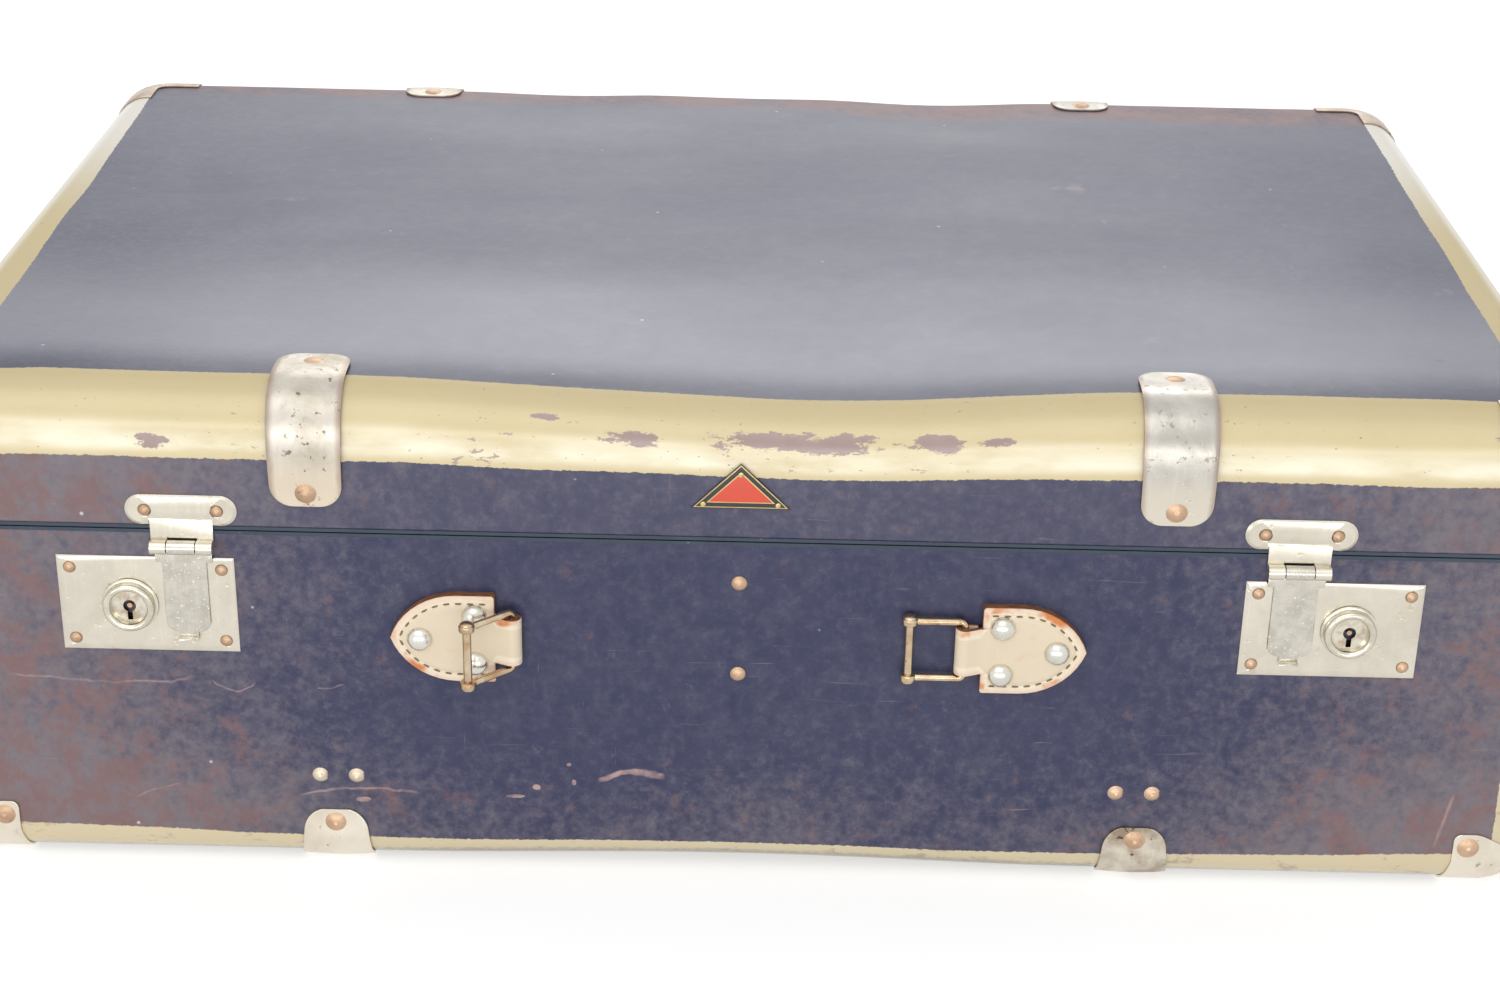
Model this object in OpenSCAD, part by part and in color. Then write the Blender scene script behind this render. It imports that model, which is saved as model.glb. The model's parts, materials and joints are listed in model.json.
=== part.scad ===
// Travel case of pressed fibre with rolled edges, metal edge clamps and corner caps,
// two sliding-knob locks with hinged hasps, and leather tabs that hold the handle's buckles.
// X runs along the front, Y from front to rear and Z up. The floor is z = 0.

/* [Case] */
// Width of the case, side to side
case_w = 650; // [600:1:760]
// Depth of the case, front to rear
case_d = 420; // [340:1:520]
// Height of the seam between base and lid above the floor
base_h = 149.8; // [145:0.1:190]
// Height of the lid above the seam
lid_h = 57.2; // [50:0.1:90]
// Thickness of the fibre walls
wall_t = 2.6; // [2:0.1:3.4]
// Radius of the upright corners
corner_r = 24; // [20:0.5:30]
// Radius of the rolled edge round the lid's top
lid_roll = 16; // [12:0.5:18]
// Radius of the rolled edge round the bottom
base_roll = 12; // [8:0.5:16]
// Thickness of the paper lining
lining_t = 0.6; // [0.4:0.1:0.9]

/* [Seam] */
// Gap between the two edge bindings when the case is shut
seam_gap = 0.5; // [0.4:0.1:0.8]
// Height of each edge binding
rim_h = 1.4; // [1:0.1:1.8]
// How far the edge bindings stand proud of the walls
rim_proud = 0.3; // [0.2:0.05:0.4]
// Height of the tongue frame above the seam
tongue_rise = 4.5; // [3:0.5:5]
// Depth of the tongue frame below the seam
tongue_drop = 13; // [10:0.5:13]
// Thickness of the tongue frame above the seam
tongue_t = 1.4; // [1:0.1:2]
// Clearance between the tongue frame and the lid's walls
tongue_clear = 0.8; // [0.7:0.1:1.2]

/* [Locks] */
// Distance of each lock's middle from the case's middle
lock_x = 230; // [215:0.5:250]
// Drop from the seam to the top edge of the lock plates
lock_drop = 11.9; // [11.5:0.1:14]
// Width of a lock plate
lock_w = 69; // [66:0.5:76]
// Height of a lock plate
lock_h = 40.8; // [38:0.1:46]
// Thickness of a lock plate
lock_t = 1; // [0.8:0.1:1.4]
// Distance of the lock rivets from the plate's edges
lock_rivet_inset = 5; // [4.5:0.1:5.6]
// Depth of the lock case behind the plate
lock_case_d = 7.2; // [7:0.1:10]
// Thickness of the lock case's sheet
lock_case_t = 0.8; // [0.6:0.1:1]
// Distance of the knob from the lock's middle, away from the case's middle
knob_off = 6.9; // [6:0.1:8]
// Diameter of the knob's collar
knob_d = 22; // [20:0.5:23]
// How far the knob stands out of its flange
knob_h = 4.6; // [3.5:0.1:6]
// Diameter of the recess in the knob
knob_recess_d = 14.2; // [12:0.2:16]
// Depth of the recess in the knob
knob_recess = 3; // [2:0.1:3.2]
// Diameter of the shank that carries the knob through the plate
knob_shank_d = 9; // [8:0.5:10]
// Travel of the knob
knob_travel = 5; // [4:0.5:5.5]
// Diameter of the round part of the keyhole
key_d = 5; // [4:0.1:5.6]
// Width of the keyhole's slot
key_slot_w = 2; // [1.6:0.1:2.4]
// Length of the keyhole's slot below its middle
key_slot_len = 6; // [5:0.1:6.5]
// Diameter of the key post inside the keyhole
key_post_d = 2; // [1.4:0.1:2.4]
// Thickness of the latch plate behind the lock plate
latch_t = 1.2; // [0.8:0.1:1.6]
// Height of the latch plate
latch_h = 14; // [12:0.5:18]

/* [Hasps] */
// Distance of each hasp from its lock's middle, towards the case's middle
hasp_off = 15.4; // [14.5:0.1:16]
// Width of the hasp's T plate
hasp_w = 43; // [40:0.5:48]
// Height of the hasp's T plate
hasp_h = 12.6; // [11:0.2:14]
// Thickness of the hasp's sheet
hasp_t = 1.2; // [1:0.1:1.4]
// Distance between the two rivets of a hasp
hasp_rivet_gap = 27.7; // [26:0.1:30]
// Width of the stem and knuckles
hasp_stem_w = 24; // [22:0.5:26]
// Diameter of the hasp's knuckles
hasp_knuckle_d = 5.8; // [5.2:0.1:6.2]
// Height of the middle knuckle's run along its pin
hasp_mid_w = 10.8; // [9:0.2:12]
// Drop from the seam to the hasp's hinge pin
hasp_pin_drop = 6.2; // [6:0.1:6.6]
// Diameter of the hasp's hinge pin
hasp_pin_d = 2; // [1.6:0.1:2.4]
// Width of the swinging leaf
leaf_w = 17.2; // [15:0.2:18]
// Width of the leaf's top strip
leaf_strip_w = 22; // [19:0.2:22.4]
// Height of the leaf's top strip
leaf_strip_h = 4; // [3:0.1:5]
// Thickness of the leaf
leaf_t = 1; // [0.8:0.1:1.2]
// Length of the leaf below its hinge pin
leaf_len = 37.4; // [35:0.1:38.4]
// Width of the lip at the leaf's lower end
lip_w = 7.4; // [6:0.1:9]
// Height of the lip
lip_h = 3.2; // [2.4:0.1:3.6]
// Width of the catch behind the leaf
catch_w = 5; // [4:0.1:6]
// Height of the catch
catch_h = 5; // [4:0.1:6]

/* [Handle fittings] */
// Distance of the buckle hinges from the case's middle
buckle_x = 88; // [80:0.5:100]
// Drop from the seam to the middle of the handle fittings
handle_drop = 43; // [41:0.5:45]
// Length of a buckle from its hinge to its cross bar
buckle_len = 21.5; // [20:0.1:23]
// Diameter of the buckle's wire
buckle_wire_d = 3; // [2.6:0.1:3.2]
// Radius of the buckle's bends, at the wire's middle
buckle_bend = 2; // [1.8:0.1:2.6]
// Diameter of the buckle's cross bar
cross_bar_d = 3.4; // [3:0.1:3.8]
// Angle by which the left buckle lies folded back at rest
left_fold = 138; // [120:1:146]
// Height of the leather neck inside the buckle
neck_h = 20; // [18:0.2:22]
// Thickness of one layer of leather
leather_t = 2.2; // [1.8:0.1:2.4]
// Distance from the buckle's hinge to the shield's shoulder
shoulder_off = 6.8; // [6.5:0.1:8]
// Length of the shield's straight sides
shield_straight = 15; // [13:0.2:18]
// Length of the shield's pointed end
shield_point = 26; // [23:0.2:28]
// Height of the leather shield
shield_h = 37.6; // [36:0.2:40]
// Diameter of the dome rivets
dome_d = 10; // [9:0.1:10.6]
// Height of the dome rivets
dome_h = 4; // [3:0.1:4.4]
// Distance of the paired dome rivets above and below the tab's middle
dome_pair_z = 10.2; // [9.8:0.1:11]
// Distance from the buckle's hinge to the paired dome rivets
dome_pair_off = 14.6; // [14.2:0.1:15.4]
// Distance from the buckle's hinge to the single dome rivet
dome_tip_off = 36.2; // [34:0.1:38]
// Height of the stiffening board behind the front wall
board_h = 49; // [47:0.5:50]
// Thickness of the stiffening board
board_t = 4; // [3:0.1:6]
// Distance between the two centre rivets
board_rivet_gap = 39.8; // [36:0.2:40]

/* [Clamps and caps] */
// Distance of the lid's clamps from the case's middle
lid_clamp_x = 166; // [155:0.5:172]
// Distance of the foot clamps from the case's middle
foot_clamp_x = 161.5; // [155:0.5:172]
// Width of the clamps
clamp_w = 28.4; // [24:0.2:32]
// Thickness of the clamps
clamp_t = 1.2; // [1:0.1:1.6]
// Reach of a lid clamp down the wall from the lid's top
lid_clamp_wall = 46; // [40:0.5:48]
// Reach of a front lid clamp over the lid's top
lid_clamp_top = 36; // [32:0.5:44]
// Reach of a rear lid clamp over the lid's top
rear_clamp_top = 26; // [25.5:0.5:36]
// Reach of a foot clamp up the wall from the floor
foot_clamp_wall = 26; // [25:0.5:32]
// Reach of a foot clamp under the base
foot_clamp_floor = 28; // [25:0.5:36]
// Radius of the clamps' rounded ends
clamp_end_r = 9; // [6:0.5:11]
// Thickness of the corner caps
cap_t = 1; // [0.8:0.1:1.2]
// Length of a corner cap along each side
cap_len = 35; // [33:0.5:40]
// Height of a cap's ears above the rolled edge
cap_ear = 13; // [12:0.5:15]
// Radius of the scallop between a cap's ears
cap_scallop = 15; // [13:0.5:18]
// Distance of the cap rivets from the end of the cap
cap_rivet_inset = 6; // [5:0.1:7]

/* [Rivets] */
// Diameter of the flat copper rivet heads
rivet_d = 6.4; // [5:0.1:7]
// Height of the flat copper rivet heads
rivet_h = 1.3; // [0.8:0.1:1.8]
// Diameter of the lock and hasp rivet heads
small_rivet_d = 5; // [4:0.1:5.4]
// Height of the lock and hasp rivet heads
small_rivet_h = 1.1; // [0.8:0.1:1.4]
// Diameter of the rivet shanks
shank_d = 2.8; // [2:0.1:3.2]
// Thickness of the rivets' clenched tails
tail_h = 0.8; // [0.5:0.1:1.2]

/* [Hinges] */
// Distance of the hinges from the case's middle
hinge_x = 215; // [205:0.5:225]
// Width of a hinge
hinge_w = 44; // [40:0.5:50]
// Height of a hinge leaf from the pin
hinge_leaf_h = 21; // [19:0.5:26]
// Thickness of a hinge leaf
hinge_t = 1.2; // [1:0.1:1.6]
// Diameter of the hinge knuckles
hinge_knuckle_d = 6; // [5:0.1:7]
// Diameter of the hinge pins
hinge_pin_d = 2.8; // [2.2:0.1:3.2]
// Distance between the two rivets of a hinge leaf
hinge_rivet_gap = 28; // [24:0.5:32]

/* [Packing straps] */
// Distance of the straps from the case's middle
strap_x = 159.6; // [156:0.1:175]
// Width of a strap
strap_w = 25; // [22:0.5:30]
// Thickness of the strap's webbing
strap_t = 1.6; // [1.2:0.1:2.2]
// Height of the strap's ends above the floor
strap_top = 50; // [48:0.5:60]
// Height of the strap rivets above the floor
strap_rivet_z = 41.6; // [38:0.2:42]
// Distance between the two rivets of a strap end
strap_rivet_gap = 14.6; // [12:0.2:15]
// Thickness of the strap buckle's frame
strap_buckle_t = 2.4; // [1.6:0.1:3]
// Width of the strap buckle's bars
strap_buckle_bar = 3; // [2:0.1:4]
// Length of the strap buckle along the strap
strap_buckle_len = 24; // [20:0.5:30]

/* [Front plate] */
// Width of the small triangular plate
badge_w = 38; // [32:0.5:44]
// Height of the triangular plate
badge_h = 18.6; // [16:0.2:22]
// Height of the plate's lower edge above the seam
badge_rise = 14.2; // [8:0.2:16]
// Thickness of the plate
badge_t = 0.6; // [0.4:0.1:0.8]

/* [Hidden] */
$fn = 64;

// Clearances
glue = 0.05;
shank_clear = 0.05;
pin_clear = 0.06;
slide_clear = 0.3;
swing_clear = 0.4;
eps = 1;

// Margins between a hole, a rivet or a cut-out and what lies beside it
rivet_margin = 2.8;
tail_margin = 1.6;
hole_margin = 1.5;
hole_reach = 8;
lock_case_edge = 4.4;
catch_drop = 2;
step_margin = 1;
lap = 2;
head_margin = 0.4;
board_edge = 6;
tail_trim = 1;

// Colours
navy = [0.18, 0.20, 0.34];
cream = [0.85, 0.79, 0.60];
nickel = [0.74, 0.73, 0.66];
copper = [0.70, 0.50, 0.36];
hide = [0.85, 0.79, 0.70];
paper = [0.72, 0.66, 0.54];
webbing = [0.45, 0.38, 0.28];

// Buckle hinge, set out from the front wall by one layer of leather
bar_bore_r = buckle_wire_d / 2 + pin_clear;
buckle_stand = bar_bore_r + leather_t;
loop_r = bar_bore_r + leather_t;
arm_z = neck_h / 2 + slide_clear + buckle_bend;
eye_r = cross_bar_d / 2 + hole_margin;
fold_rise = sin(180 - left_fold);

// The box round the shut case is centred on the origin
hinge_stand = rim_proud + swing_clear + hinge_knuckle_d / 2;
front_reach = buckle_stand + buckle_len * fold_rise + eye_r;
rear_reach = hinge_stand + hinge_knuckle_d / 2;
case_y = (front_reach - rear_reach) / 2;
front_y = case_y - case_d / 2;
rear_y = case_y + case_d / 2;

// Heights
floor_z = clamp_t;
lid_top = base_h + lid_h;
base_wall_top = base_h - seam_gap / 2 - rim_h;
lid_wall_low = base_h + seam_gap / 2 + rim_h;
lining_in = wall_t + glue;
strap_in = lining_in + lining_t + glue;
base_lining_top = base_h - tongue_drop - glue;
lid_lining_low = base_h + tongue_rise + hole_margin;

// Locks
lock_z = base_h - lock_drop - lock_h / 2;
lock_rivet_x = lock_w / 2 - lock_rivet_inset;
lock_rivet_z = lock_h / 2 - lock_rivet_inset;
lock_case_w = 2 * (lock_rivet_x - small_rivet_d / 2 - tail_margin);
lock_case_h = lock_h - 2 * lock_case_edge;
knob_x = lock_x + knob_off;
hasp_x = lock_x - hasp_off;
catch_z = lock_z - catch_drop;
catch_tip = 0.6;
latch_in = slide_clear;
latch_inner = hasp_x + catch_w / 2 + swing_clear;
latch_outer = knob_x + knob_shank_d / 2 + hole_margin;

// Hasps
hasp_pin_z = base_h - hasp_pin_drop;
hasp_stand = rim_proud + swing_clear;
hasp_axis = hasp_stand + hasp_knuckle_d / 2;
hasp_low = lid_wall_low + slide_clear;
leaf_back = lock_t + slide_clear;
strip_top = hasp_pin_z - hasp_knuckle_d / 2 - swing_clear;

// Handle fittings
handle_z = base_h - handle_drop;
shield_t = 2 * leather_t;
shoulder_x = buckle_x + shoulder_off;
point_x = shoulder_x + shield_straight;
tip_x = point_x + shield_point;
point_r = (pow(shield_point, 2) + pow(shield_h / 2, 2)) / shield_h;
board_mid = base_lining_top - slide_clear - board_h / 2;
board_w = 2 * (tip_x + board_edge);
board_z = [board_mid - board_rivet_gap / 2, board_mid + board_rivet_gap / 2];
front_grip = wall_t + glue + lining_t + glue;

// Clamps and caps, measured from the edge that they hold
clamp_rivet_inset = rivet_d / 2 + rivet_margin;
lid_rivet_wall = lid_clamp_wall - clamp_rivet_inset;
foot_rivet_wall = foot_clamp_wall - clamp_rivet_inset;
foot_rivet_floor = foot_clamp_floor - clamp_rivet_inset;
cap_rivet_x = case_w / 2 - cap_len + cap_rivet_inset;
cap_rivet_rise = cap_ear - rivet_d / 2 - rivet_margin;

// Hinges
hinge_clear = 0.4;
hinge_mid_w = hinge_w / 3;
hinge_rivet_rise = (hinge_leaf_h + hinge_knuckle_d / 2 + tail_margin) / 2;

strap_rivet_x = [strap_x - strap_rivet_gap / 2, strap_x + strap_rivet_gap / 2];
sides = [-1, 1];

// Placing

module flip(side) {
    if (side < 0)
        mirror([1, 0, 0]) children();
    else
        children();
}

// x stays, y becomes height and z stands out of the front wall
module on_front() {
    translate([0, front_y, 0]) rotate([90, 0, 0]) children();
}

// the same on the rear wall, seen from behind
module on_rear() {
    translate([0, rear_y, 0]) rotate([90, 0, 180]) children();
}

// the same on the side wall at +X
module on_side() {
    translate([case_w / 2, case_y, 0]) rotate([90, 0, 90]) children();
}

module on_face(face) {
    if (face == "front")
        on_front() children();
    else if (face == "rear")
        on_rear() children();
    else
        on_side() children();
}

// Shapes that repeat

module rounded_rect(w, d, r) {
    square([w - 2 * r, d], center = true);
    square([w, d - 2 * r], center = true);
    for (x = sides, y = sides)
        translate([x * (w / 2 - r), y * (d / 2 - r)]) circle(r);
}

// Upright ring that follows the case's outline, inset from the outer wall
module ring(inset, t, h) {
    translate([0, case_y, 0])
        linear_extrude(h)
            difference() {
                rounded_rect(case_w - 2 * inset, case_d - 2 * inset, corner_r - inset);
                rounded_rect(case_w - 2 * (inset + t), case_d - 2 * (inset + t), corner_r - inset - t);
            }
}

// Section of a tray's edge: wall, rolled edge and the margin of its floor, which ends at reach
module edge_profile(h, reach, roll, t) {
    translate([0, roll]) square([t, h - roll]);
    intersection() {
        translate([roll, roll])
            difference() {
                circle(roll);
                circle(roll - t);
            }
        square([roll, roll]);
    }
    translate([roll, 0]) square([reach - roll, t]);
}

// Tray with rolled edges that stands on z = 0, inset from the outer wall
module tray(inset, h, roll, t) {
    w = case_w - 2 * inset;
    d = case_d - 2 * inset;
    r = corner_r - inset;
    core = (r - roll) / 2;
    translate([0, case_y, 0]) {
        for (turn = [0, 180])
            rotate([0, 0, turn]) {
                translate([r - w / 2, -d / 2, 0])
                    rotate([90, 0, 90]) linear_extrude(w - 2 * r) edge_profile(h, r, roll, t);
                translate([-w / 2, d / 2 - r, 0])
                    rotate([90, 0, 0]) linear_extrude(d - 2 * r) edge_profile(h, r, roll, t);
                for (x = sides)
                    flip(x)
                        translate([w / 2 - r, d / 2 - r, 0]) {
                            rotate_extrude(angle = 90)
                                translate([r, 0]) mirror([1, 0]) edge_profile(h, r - core, roll, t);
                            cylinder(r = 1.5 * core, h = t);
                        }
            }
        translate([r - w / 2, r - d / 2, 0]) cube([w - 2 * r, d - 2 * r, t]);
    }
}

// The lid's trays hang from its top
module lid_tray(inset, h, roll, t) {
    translate([0, 0, lid_top]) mirror([0, 0, 1]) tray(inset, h, roll, t);
}

// Rivet along z: its head stands on z = 0, and its tail is clenched behind the grip
module rivet(head_d, head_h, grip, tail_d) {
    dome_r = (pow(head_d / 2, 2) + pow(head_h, 2)) / (2 * head_h);
    rotate_extrude() {
        intersection() {
            translate([0, head_h - dome_r]) circle(dome_r);
            square([head_d / 2, head_h]);
        }
        translate([0, -grip]) square([shank_d / 2, grip + head_h / 2]);
        translate([0, -grip - tail_h]) square([tail_d / 2, tail_h]);
    }
}

module copper_rivet(grip) {
    rivet(rivet_d, rivet_h, grip, rivet_d - tail_trim);
}

module small_rivet(grip) {
    rivet(small_rivet_d, small_rivet_h, grip, small_rivet_d);
}

// Hole for a rivet's shank, through everything within reach of the face
module shank_hole(depth) {
    translate([0, 0, -depth]) cylinder(d = shank_d + 2 * shank_clear, h = depth + hole_reach);
}

// Places of the rivets

module at_lock_rivets() {
    on_front()
        for (side = sides, x = sides, z = sides)
            translate([side * (lock_x + x * lock_rivet_x), lock_z + z * lock_rivet_z, 0]) children();
}

module at_hasp_rivets() {
    on_front()
        for (side = sides, x = sides)
            translate([side * (hasp_x + x * hasp_rivet_gap / 2), hasp_low + hasp_h / 2, 0]) children();
}

module at_tab_rivets() {
    on_front()
        for (side = sides) {
            for (z = sides)
                translate([side * (buckle_x + dome_pair_off), handle_z + z * dome_pair_z, 0]) children();
            translate([side * (buckle_x + dome_tip_off), handle_z, 0]) children();
        }
}

module at_board_rivets() {
    on_front()
        for (z = board_z)
            translate([0, z, 0]) children();
}

module at_strap_rivets() {
    for (face = ["front", "rear"])
        on_face(face)
            for (side = sides, x = strap_rivet_x)
                translate([side * x, strap_rivet_z, 0]) children();
}

module at_foot_wall_rivets() {
    for (face = ["front", "rear"])
        on_face(face)
            for (side = sides)
                translate([side * foot_clamp_x, foot_rivet_wall, 0]) children();
}

module at_foot_floor_rivets() {
    for (x = sides, y = sides)
        translate([x * foot_clamp_x, case_y + y * (case_d / 2 - foot_rivet_floor), floor_z]) children();
}

module at_lid_wall_rivets() {
    for (face = ["front", "rear"])
        on_face(face)
            for (side = sides)
                translate([side * lid_clamp_x, lid_top - lid_rivet_wall, 0]) children();
}

module at_lid_top_rivets() {
    for (side = sides) {
        translate([side * lid_clamp_x, front_y + lid_clamp_top - clamp_rivet_inset, lid_top]) children();
        translate([side * lid_clamp_x, rear_y - rear_clamp_top + clamp_rivet_inset, lid_top]) children();
    }
}

// Two rivets a cap: one on the long wall and one on the side wall
module at_cap_rivets(z) {
    for (face = ["front", "rear"])
        on_face(face)
            for (side = sides)
                translate([side * cap_rivet_x, z, 0]) children();
    for (side = sides)
        flip(side)
            on_side()
                for (y = sides)
                    translate([y * (cap_rivet_x - (case_w - case_d) / 2), z, 0]) children();
}

module at_hinge_rivets(way) {
    on_rear()
        for (side = sides, x = sides)
            translate([side * hinge_x + x * hinge_rivet_gap / 2, base_h + way * hinge_rivet_rise, 0])
                children();
}

base_cap_rivet_z = floor_z + base_roll + cap_rivet_rise;
lid_cap_rivet_z = lid_top - lid_roll - cap_rivet_rise;

// Holes through the front wall for the lock's case
module lock_openings(clear) {
    on_front()
        for (side = sides)
            translate([side * lock_x, lock_z, -lock_case_d])
                linear_extrude(lock_case_d + eps)
                    square([lock_case_w + 2 * clear, lock_case_h + 2 * clear], center = true);
}

// All the rivet holes through the base's wall and lining
module base_holes(depth) {
    at_lock_rivets() shank_hole(depth);
    at_tab_rivets() shank_hole(depth);
    at_board_rivets() shank_hole(depth);
    at_strap_rivets() shank_hole(depth);
    at_foot_wall_rivets() shank_hole(depth);
    at_foot_floor_rivets() rotate([180, 0, 0]) shank_hole(depth);
    at_cap_rivets(base_cap_rivet_z) shank_hole(depth);
    at_hinge_rivets(-1) shank_hole(depth);
}

// All the rivet holes through the lid's wall and lining
module lid_holes(depth) {
    at_hasp_rivets() shank_hole(depth);
    at_lid_wall_rivets() shank_hole(depth);
    at_lid_top_rivets() shank_hole(depth);
    at_cap_rivets(lid_cap_rivet_z) shank_hole(depth);
    at_hinge_rivets(1) shank_hole(depth);
}

// Base

module base_shell() {
    color(navy)
        difference() {
            translate([0, 0, floor_z]) tray(0, base_wall_top - floor_z, base_roll, wall_t);
            base_holes(wall_t + eps);
            lock_openings(slide_clear);
        }
}

module base_lining() {
    low = floor_z + lining_in;
    color(paper)
        difference() {
            translate([0, 0, low]) tray(lining_in, base_lining_top - low, base_roll - lining_in, lining_t);
            base_holes(front_grip + eps);
            lock_openings(slide_clear);
            at_hinge_rivets(-1) tail_room();
        }
}

module base_frame() {
    low_t = tongue_clear + tongue_t;
    color(cream)
        difference() {
            union() {
                translate([0, 0, base_h - tongue_drop]) ring(lining_in, low_t - glue, tongue_drop);
                translate([0, 0, base_h - eps])
                    ring(wall_t + tongue_clear, tongue_t, tongue_rise + eps);
            }
            at_hinge_rivets(-1) tail_room();
        }
}

module base_rim() {
    color(navy)
        translate([0, 0, base_wall_top]) ring(-rim_proud, rim_proud + wall_t - glue, rim_h);
}

module handle_board() {
    color("tan")
        difference() {
            on_front()
                translate([0, board_mid, -front_grip - board_t])
                    linear_extrude(board_t) square([board_w, board_h], center = true);
            at_tab_rivets() shank_hole(front_grip + board_t + eps);
            at_board_rivets() shank_hole(front_grip + board_t + eps);
        }
}

// Lid

module lid_shell() {
    color(navy)
        difference() {
            lid_tray(0, lid_top - lid_wall_low, lid_roll, wall_t);
            lid_holes(wall_t + eps);
            at_badge_nails() nail_hole();
        }
}

module lid_lining() {
    color(paper)
        difference() {
            translate([0, 0, -lining_in])
                lid_tray(lining_in, lid_top - lining_in - lid_lining_low, lid_roll - lining_in, lining_t);
            lid_holes(front_grip + eps);
            at_hasp_rivets() tail_room();
            at_hinge_rivets(1) tail_room();
        }
}

module lid_rim() {
    color(navy)
        translate([0, 0, base_h + seam_gap / 2]) ring(-rim_proud, rim_proud + wall_t, rim_h);
}

// Locks, drawn at +X and mirrored for the left

module lock_plate(side) {
    slot_h = knob_shank_d + 2 * slide_clear;
    slot_low = catch_z - catch_h / 2 - swing_clear;
    color(nickel)
        flip(side)
            on_front()
                linear_extrude(lock_t)
                    difference() {
                        translate([lock_x, lock_z]) square([lock_w, lock_h], center = true);
                        translate([lock_x, lock_z])
                            for (x = sides, z = sides)
                                translate([x * lock_rivet_x, z * lock_rivet_z])
                                    circle(d = shank_d + 2 * shank_clear);
                        translate([knob_x, lock_z]) {
                            circle(d = slot_h);
                            translate([knob_travel, 0]) circle(d = slot_h);
                            translate([0, -slot_h / 2]) square([knob_travel, slot_h]);
                        }
                        translate([hasp_x - catch_w / 2 - swing_clear, slot_low])
                            square([catch_w + 2 * swing_clear, lock_z + lock_h - slot_low]);
                    }
}

module lock_case(side) {
    inner_w = lock_case_w - 2 * lock_case_t;
    inner_h = lock_case_h - 2 * lock_case_t;
    color(nickel)
        flip(side)
            on_front()
                translate([lock_x, lock_z, -lock_case_d])
                    difference() {
                        linear_extrude(lock_case_d) square([lock_case_w, lock_case_h], center = true);
                        translate([0, 0, lock_case_t])
                            linear_extrude(lock_case_d) square([inner_w, inner_h], center = true);
                    }
}

// Collar with a recessed disc, the keyhole, the key post and the shank behind
module lock_knob(side) {
    back = lock_t + slide_clear;
    flange_t = 1;
    flange_w = 0.8;
    disc_t = 1.2;
    disc_z = back + knob_h - knob_recess - disc_t;
    rim_out = knob_d / 2 - flange_w;
    rim_r = (rim_out - knob_recess_d / 2) / 2;
    color(nickel)
        flip(side)
            on_front()
                translate([knob_x, lock_z, 0]) {
                    difference() {
                        rotate_extrude() {
                            translate([0, back]) square([knob_d / 2, flange_t]);
                            translate([0, back]) square([rim_out, knob_h - rim_r]);
                            translate([rim_out - rim_r, back + knob_h - rim_r]) circle(rim_r);
                            translate([0, -latch_in])
                                square([knob_shank_d / 2, back + latch_in + flange_t / 2]);
                        }
                        translate([0, 0, back + knob_h - knob_recess])
                            cylinder(d = knob_recess_d, h = knob_recess + eps);
                        translate([0, 0, -latch_in - eps])
                            cylinder(d = knob_shank_d - 2 * step_margin, h = disc_z + latch_in + eps);
                        translate([0, 0, disc_z - eps])
                            linear_extrude(disc_t + 2 * eps) {
                                circle(d = key_d);
                                translate([-key_slot_w / 2, -key_slot_len])
                                    square([key_slot_w, key_slot_len]);
                            }
                    }
                }
}

// Latch plate behind the lock plate, with the key post on it
module lock_latch(side) {
    nose_h = catch_h + step_margin;
    heel = knob_shank_d / 2 + step_margin;
    post_len = latch_in + lock_t + slide_clear + knob_h - knob_recess - swing_clear;
    color(nickel)
        flip(side)
            on_front() {
                translate([0, 0, -latch_in - latch_t]) {
                    linear_extrude(latch_t) {
                        translate([knob_x - heel, lock_z - latch_h / 2])
                            square([latch_outer - knob_x + heel, latch_h]);
                        translate([latch_inner, catch_z - nose_h / 2])
                            square([knob_x - latch_inner, nose_h]);
                    }
                }
                translate([knob_x, lock_z, -latch_in - latch_t])
                    cylinder(d = key_post_d, h = latch_t + post_len);
            }
}

// Bent flat spring between the latch plate and the lock case
module lock_spring(side) {
    strip = 0.5;
    bend = 1.5 * strip;
    free = 0.2;
    outer = lock_x + lock_case_w / 2 - lock_case_t - free;
    inner = latch_outer + free;
    reach = latch_h / 2;
    color("gray")
        flip(side)
            on_front()
                translate([0, lock_z, -latch_in - latch_t])
                    linear_extrude(latch_t)
                        polygon([
                            [outer, reach], [inner, strip], [inner, -strip], [outer, -reach],
                            [outer, -reach + bend], [inner + bend, 0], [outer, reach - bend]
                        ]);
}

module lock_rivets() {
    color(copper)
        at_lock_rivets() translate([0, 0, lock_t]) small_rivet(lock_t + front_grip);
}

// Hasps, drawn at +X and mirrored for the left

module hasp_knuckle(x0, x1) {
    translate([x0, hasp_pin_z, hasp_axis]) rotate([0, 90, 0]) cylinder(d = hasp_knuckle_d, h = x1 - x0);
}

module hasp_bore() {
    translate([hasp_x - hasp_stem_w, hasp_pin_z, hasp_axis])
        rotate([0, 90, 0]) cylinder(d = hasp_pin_d + 2 * pin_clear, h = 2 * hasp_stem_w);
}

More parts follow.
